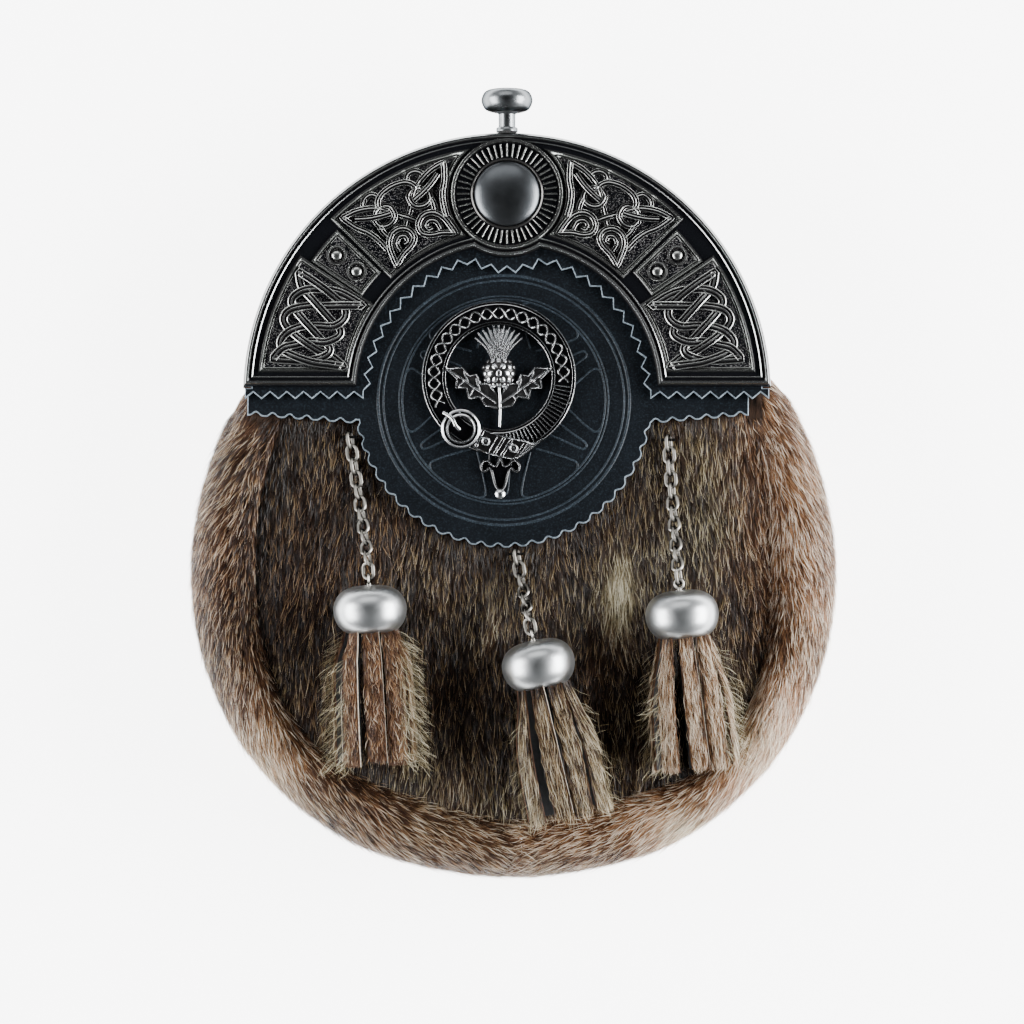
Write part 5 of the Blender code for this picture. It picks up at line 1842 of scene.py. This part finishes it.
# ---- Chains and tassels ----
@dataclass
class Hanging:
    """One chain with its tassel."""
    name: str
    staple: Row                 # where the chain starts
    middle: Row                 # where the head's middle lies
    lean: float                 # degrees
    tone: float
    warmth: float
    seed: int
    curls: float = 0.0
    sides: float = 0.35         # how pale and cool the hair on its sides is
    wire: float = 0.95
    link_long: float = 5.3
    link_wide: float = 4.0
    pitch: float = 3.38
    roll: float = 24.0
    head_radius: float = 10.2
    head_long: float = 13.4
    eye_radius: float = 1.25
    eye_rise: float = 1.9
    strips: int = 8
    # distance below the head's middle, half width and half depth of the oval, strip width
    strip_rows: Rows = (
        (0.2, 5.6, 5.6, 4.1), (8.4, 6.3, 6.1, 4.6), (23.0, 9.4, 6.1, 5.6), (42.7, 10.2, 5.7, 5.9))
    strip_long: float = 42.7
    strip_thick: float = 0.45
    edge_out: float = 7.0       # strips further aside than this show no cut edge
    hairs_per_strip: int = 2000
    phase: float = 0.0
    strip_share: float = 0.93
    bow: float = 0.45           # how far a strip's foot swings aside
    strip_tilt: float = -0.2
    tuck: float = 0.5           # how far hairs near a strip's edge lean to its middle
    groom: Groom = Groom(length=3.2, width=0.16, rise=0.13, stray=0.3, guard=0.1, mixed=0.1)
    curl_groom: Groom = Groom(length=5.4, width=0.1, rise=0.3, stray=0.4, curl=0.2, segments=4)
    frame: Matrix = field(init=False)

    def __post_init__(self) -> None:
        """Place the tassel on the front."""
        (x, y), reach = self.middle, self.head_long / 2.0
        height = max(float(front_height(x + reach * a, y + reach * b))
                     for a in (-1, 0, 1) for b in (-1, 0, 1)) + self.head_radius + 0.3
        self.frame = (Matrix.Translation((x, y, height))
                      @ Matrix.Rotation(math.radians(self.lean), 4, "Z")
                      @ Matrix.Rotation(math.radians(3.0), 4, "X"))

    def route(self) -> Array:
        """From the staple down onto the front, along it and up to the tassel's eye.

        Returns:
            The route's points.
        """
        lift = 0.3 + self.link_wide / 2.0
        eye = self.head_long / 2.0 + self.eye_rise
        end = self.frame @ Vector((0.0, eye + self.link_long, 0.0))
        start = Vector((*self.staple, float(front_height(*self.staple)) + 2.4))
        line = []
        for step in range(13):
            share = step / 12.0
            place = start.lerp(end, share)
            lying = float(front_height(place.x, place.y)) + lift
            climb = max(0.0, share - 0.4) / 0.6
            height = lying + (end.z - lying) * climb ** 1.5
            place.z = height + (start.z - height) * max(0.0, 1.0 - share / 0.12)
            line.append(tuple(place))
        line.append(tuple(self.frame @ Vector((0.0, eye, 0.0))))
        return np.array(line)

    def link_places(self) -> tuple[Array, Array]:
        """Centre and direction of each link.

        Returns:
            The centres and the directions.
        """
        line = self.route()
        length = lengths_along(line)
        half = (self.link_long - self.wire) / 2.0
        first, last = half - self.wire - 0.3, length[-1] - half - self.eye_radius + self.wire + 0.3
        at = np.linspace(first, last, math.floor((last - first) / self.pitch) + 1)
        places = np.stack([np.interp(at, length, column) for column in line.T], 1)
        runs = np.clip(np.searchsorted(length, at, side="right") - 1, 0, len(line) - 2)
        return places, np.diff(line, axis=0)[runs]

    def chain(self) -> None:
        """Build the cable chain, its links a quarter turn apart."""
        radius = (self.link_wide - self.wire) / 2.0
        stretch = (self.link_long - self.link_wide) / 2.0
        bpy.ops.mesh.primitive_torus_add(major_segments=24, minor_segments=8, major_radius=radius,
                                         minor_radius=self.wire / 2.0)
        pattern = bpy.context.object
        for vert in pattern.data.vertices:
            if abs(vert.co.x) > 0.01 * radius:
                vert.co.x += math.copysign(stretch, vert.co.x)
        links = []
        for number, (place, aim) in enumerate(zip(*self.link_places())):
            along = Vector(aim).to_track_quat("X", "Z").to_matrix().to_4x4()
            turn = Matrix.Rotation(math.radians(self.roll + 90.0 * ((number + 1) % 2)), 4, "X")
            links.append(copied(pattern, Matrix.Translation(place) @ along @ turn))
        dropped(pattern)
        settle(joined(f"links_{self.name}", links), BODY, [Finish.CHAIN],
               [f"chain_{self.name}"])
        # The staple is painted near-black, as the shade of the hole in the hair
        dress(frame["nodes"][f"staple_{self.name}"], Finish.STAPLE)

    def head(self) -> None:
        """Build the hollow steel bun."""
        half, radius = self.head_long / 2.0, self.head_radius
        turns = np.radians(np.linspace(84.0, -58.0, 28))
        outside = [(radius * math.cos(t) ** 0.62, half * math.sin(t) * (1.0 if t > 0 else 1.08))
                   for t in turns]
        lip = outside[-1]
        profile = [(1.3, half), *outside, (lip[0] - 0.3, lip[1]), (7.2, -4.6), (7.2, -1.0),
                   (5.6, 3.6), (1.3, 4.6)]
        piece = lathe(f"bun_{self.name}", profile, 72, upright=False)
        piece.data.transform(self.frame)
        settle(piece, BODY, [Finish.STEEL], [f"tassel_{self.name}_head"])

    def oval(self, share: float, wide: float, deep: float) -> tuple[Array, Array]:
        """Find a point on an oval.

        Args:
            share: How far round it, measured along it.
            wide: The oval's half width.
            deep: Its half depth.

        Returns:
            The point, and the oval's direction there.
        """
        turn = np.linspace(0.0, math.tau, 181)
        loop = np.stack([wide * np.cos(turn), deep * np.sin(turn)], 1)
        length = lengths_along(loop)
        at = share * length[-1]
        spot = np.array([np.interp(at, length, column) for column in loop.T])
        run = min(int(np.searchsorted(length, at, side="right")) - 1, 179)
        along = loop[run + 1] - loop[run]
        return spot, along / np.linalg.norm(along)

    def strip_grid(self, index: int) -> Array:
        """Outer face of one strip, in rows down its length and columns across.

        Args:
            index: Which strip.

        Returns:
            The grid of points, in the tassel's own frame.
        """
        share = (index + self.phase) / self.strips
        rows = []
        for down in np.linspace(0.2, self.strip_long + 0.8 * math.sin(2.4 * index), 20):
            wide, deep, width = (float(eased(self.strip_rows, column, down))
                                 for column in (1, 2, 3))
            spot, along = self.oval(share, wide, deep)
            out = np.array([along[1], -along[0]])
            bow = self.bow * math.sin(0.7 + 2.1 * index) * down / self.strip_long
            row = []
            for side in np.linspace(-1.0, 1.0, 5):
                across = side * width * self.strip_share / 2.0 + bow
                place = spot + along * across + out * (
                    0.68 + 0.14 * (1.0 - side * side) + self.strip_tilt * side * width / 2.0)
                row.append((place[0], -down, place[1]))
            rows.append(row)
        return np.array(rows)

    def skirt(self) -> None:
        """Build the strips, their core and the wire eye, then the hair on the strips."""
        parts, grids = [], []
        for index in range(self.strips):
            grid = self.strip_grid(index)
            strip = shaped_grid("strip", grid)
            # Each strip's back is painted nearly black, as the shade inside the tassel
            dress(strip, Finish.TASSEL_WOOL, Finish.CREAM, Finish.FLESH)
            shown = abs(float(grid[-1, 2, 0])) < self.edge_out
            parts.append(walled(strip, self.strip_thick, 2, 1 if shown else 0))
            grids.append(grid)
        core = lathe("core", [(0.0, 0.6), (5.7, 0.4), (5.7, -4.0), (0.0, -4.0)], 32, upright=False)
        # The core is painted nearly black, as the shade seen between the strips
        dress(core, Finish.FLESH)
        half = self.head_long / 2.0
        foot = half + self.eye_rise - self.eye_radius
        post = lathe("post", [(0.0, foot + 0.1), (0.7, foot), (0.7, -2.0), (0.0, -2.0)], 16,
                     upright=False)
        bpy.ops.mesh.primitive_torus_add(
            major_segments=24, minor_segments=8, major_radius=self.eye_radius,
            minor_radius=self.wire / 2.0)
        eye = bpy.context.object
        if len(self.link_places()[0]) % 2 == 0:
            eye.data.transform(Matrix.Rotation(math.pi / 2.0, 4, "Y"))
        moved(eye, 0.0, half + self.eye_rise, 0.0)
        dress(post, Finish.CHAIN)
        dress(eye, Finish.CHAIN)
        piece = joined(f"fringe_{self.name}", [*parts, core, post, eye])
        piece.data.transform(self.frame)
        settle(piece, BODY, [], [f"tassel_{self.name}_skirt"])
        self.hair(grids)

    def hair(self, grids: Sequence[Array]) -> None:
        """Lay the hair on the strips' outer faces.

        Args:
            grids: One grid of points for each strip.
        """
        rng = np.random.default_rng(self.seed)
        gathered: list[list[Array]] = [[], [], []]
        for number, grid in enumerate(grids):
            found = scattered(grid, self.hairs_per_strip, self.seed + number)
            outer = abs(float(grid[-1, 2, 0])) > self.edge_out
            keep = ((found[0][:, 1] < -self.head_long / 2.0 + 1.6)
                    & (np.abs(found[5] - 0.5) < (0.5 if outer else 0.44)))
            inward = (0.5 - found[5])[:, None] * found[3] * (0.0 if outer else self.tuck)
            found = (found[0], found[1], found[2] + inward)
            for store, value in zip(gathered, found[:3]):
                store.append(value[keep])
        roots, normals, nap = (np.concatenate(values) for values in gathered)
        spin = np.array(self.frame.to_3x3())
        shift = np.array(self.frame.translation)
        side = np.abs(roots[:, 0]) / self.head_radius
        tone = (self.tone + 0.05 * rng.normal(size=len(roots)) + 0.16 * self.sides * side ** 3
                + 0.05 * ripple(roots[:, 0] * 2.0, roots[:, 1], 9.0, self.seed)
                + 0.05 * ripple(roots[:, 0], roots[:, 1] * 0.15, 2.0, self.seed + 1))
        coat = np.stack([tone, np.full(len(roots), self.warmth) - 0.5 * self.sides * side ** 3], 1)
        near = np.clip((roots[:, 1] + 43.0) / 4.5, 0.15, 1.0)
        world, away, along = roots @ spin.T + shift, normals @ spin.T, nap @ spin.T
        pieces = [hair_piece(f"tassel_hair_{self.name}", world, away, along, self.groom, coat,
                             self.seed, near)]
        if self.curls:
            wild = (side > 0.7) & (rng.uniform(size=len(roots)) < self.curls)
            outer = np.sign(roots[wild, :1]) @ np.array([[1.0, 0.0, 0.0]]) @ spin.T
            pale = np.stack([np.full(wild.sum(), 0.88), np.zeros(wild.sum())], 1)
            pieces.append(hair_piece(f"curls_{self.name}", world[wild], away[wild],
                                     along[wild] + 0.7 * outer, self.curl_groom, pale,
                                     self.seed + 50))
        settle(joined(f"tassel_hair_{self.name}", pieces), BODY, [Finish.HAIR],
               sharp=0.0)

    def build(self) -> None:
        """Build the chain and its tassel."""
        self.chain()
        self.head()
        self.skirt()


# ---- Studio ----
@dataclass
class Studio:
    """The pale floor, the soft light and the camera straight above."""
    distance: float = 2.4
    aim: Row = (-0.0004, -0.00895)
    sensor_mm: float = 36.0
    frame_mm: float = 0.28 * 1024       # what the picture is wide, at 0.28 mm a pixel
    floor: str = "F7F7F7"
    glow: float = 6.0           # the paper is lit through from behind, as under a product shot

    def camera(self) -> None:
        """Place the camera over the photograph's middle."""
        data = bpy.data.cameras.new("camera")
        data.sensor_width = self.sensor_mm
        data.lens = self.sensor_mm * (self.distance - FRONT_LEVEL * MM) / (self.frame_mm * MM)
        camera = bpy.data.objects.new("camera", data)
        camera.location = (*self.aim, self.distance)
        bpy.context.scene.collection.objects.link(camera)
        bpy.context.scene.camera = camera

    def light(self) -> None:
        """Hang two side boxes and a top box, in a room that is dark straight overhead."""
        for name, place, power, wide, high in (
                ("box_left", (-1.0, -0.1, 0.46), 34.0, 1.1, 0.6),
                ("box_right", (1.0, 0.0, 0.46), 50.0, 1.1, 0.6),
                ("box_top", (-0.15, 1.1, 0.8), 5.0, 1.2, 0.6)):
            data = bpy.data.lights.new(name, "AREA")
            data.shape = "RECTANGLE"
            data.energy, data.size, data.size_y = power, wide, high
            lamp = bpy.data.objects.new(name, data)
            lamp.location = place
            lamp.rotation_euler = (Vector((0, 0, 0)) - Vector(place)).to_track_quat(
                "-Z", "Y").to_euler()
            bpy.context.scene.collection.objects.link(lamp)
        world = bpy.data.worlds.new("room")
        world.use_nodes = True
        tree = world.node_tree
        where = add_node(tree, "TexCoord")
        aim = add_node(tree, "SeparateXYZ", {"Vector": where.outputs["Generated"]})
        sky = add_ramp(tree, aim.outputs["Z"], (
            (0.5, "F0F1F3"), (0.86, "A8ABB0"), (0.955, "101114")))
        aside = add_node(tree, "Math", {0: aim.outputs["X"]}, operation="ABSOLUTE")
        strength = add_node(tree, "MapRange", {
            "Value": aside.outputs["Value"], "From Min": 0.15, "From Max": 0.75, "To Min": 0.2,
            "To Max": 0.56})
        feed(tree, tree.nodes["Background"], {
            "Color": sky, "Strength": strength.outputs["Result"]})
        bpy.context.scene.world = world

    def build(self) -> None:
        """Build the studio."""
        bpy.ops.mesh.primitive_plane_add(size=6.0, location=(0.0, 0.0, -0.0004))
        floor = bpy.context.object
        floor.name = "floor"
        material, tree, shader, where = blank("studio_paper")
        away = add_node(tree, "VectorMath", {0: where}, operation="LENGTH")
        fading = add_node(tree, "MapRange", {
            "Value": away.outputs["Value"], "From Min": 0.2, "From Max": 0.45,
            "To Min": self.glow, "To Max": 1.0})
        feed(tree, shader, {
            "Base Color": linear(self.floor), "Roughness": 0.9,
            "Emission Color": linear(self.floor),
            "Emission Strength": fading.outputs["Result"]})
        floor.data.materials.append(material)
        self.camera()
        self.light()


def main() -> None:
    """Build every sub-assembly in order and note the sizes."""
    Studio().build()
    PouchBody().build()
    FrontLeather().build()
    Cantle().build()
    Badge().build()
    Knob().build()
    for hanging in (
            Hanging("left", (-44.0, -11.5), (-38.1, -59.6), lean=2.4, tone=0.5, warmth=1.0,
                    seed=100, curls=0.2, sides=1.0, strip_share=0.84,
                    strip_rows=((0.2, 5.6, 5.6, 4.3), (8.0, 6.6, 6.1, 5.4),
                                (13.0, 8.6, 6.1, 6.1), (23.0, 9.5, 6.1, 6.3),
                                (42.7, 9.9, 5.7, 6.5))),
            Hanging("center", (2.6, -44.2), (8.7, -74.8), lean=12.0, tone=0.41, warmth=0.5,
                    seed=200, phase=0.36, curls=0.02, strip_share=0.92, tuck=0.16, bow=0.8,
                    groom=Groom(length=6.0, width=0.15, rise=0.07, stray=0.06, guard=0.2,
                                glint=0.62)),
            Hanging("right", (45.1, -12.3), (48.7, -61.0), lean=5.5, tone=0.62, warmth=0.9,
                    seed=300, strip_share=0.88, curls=0.1, bow=1.1,
                    groom=Groom(length=4.6, width=0.15, rise=0.12, stray=0.14, guard=0.2,
                                glint=0.62))):
        hanging.build()


if __name__ == "__main__":
    main()
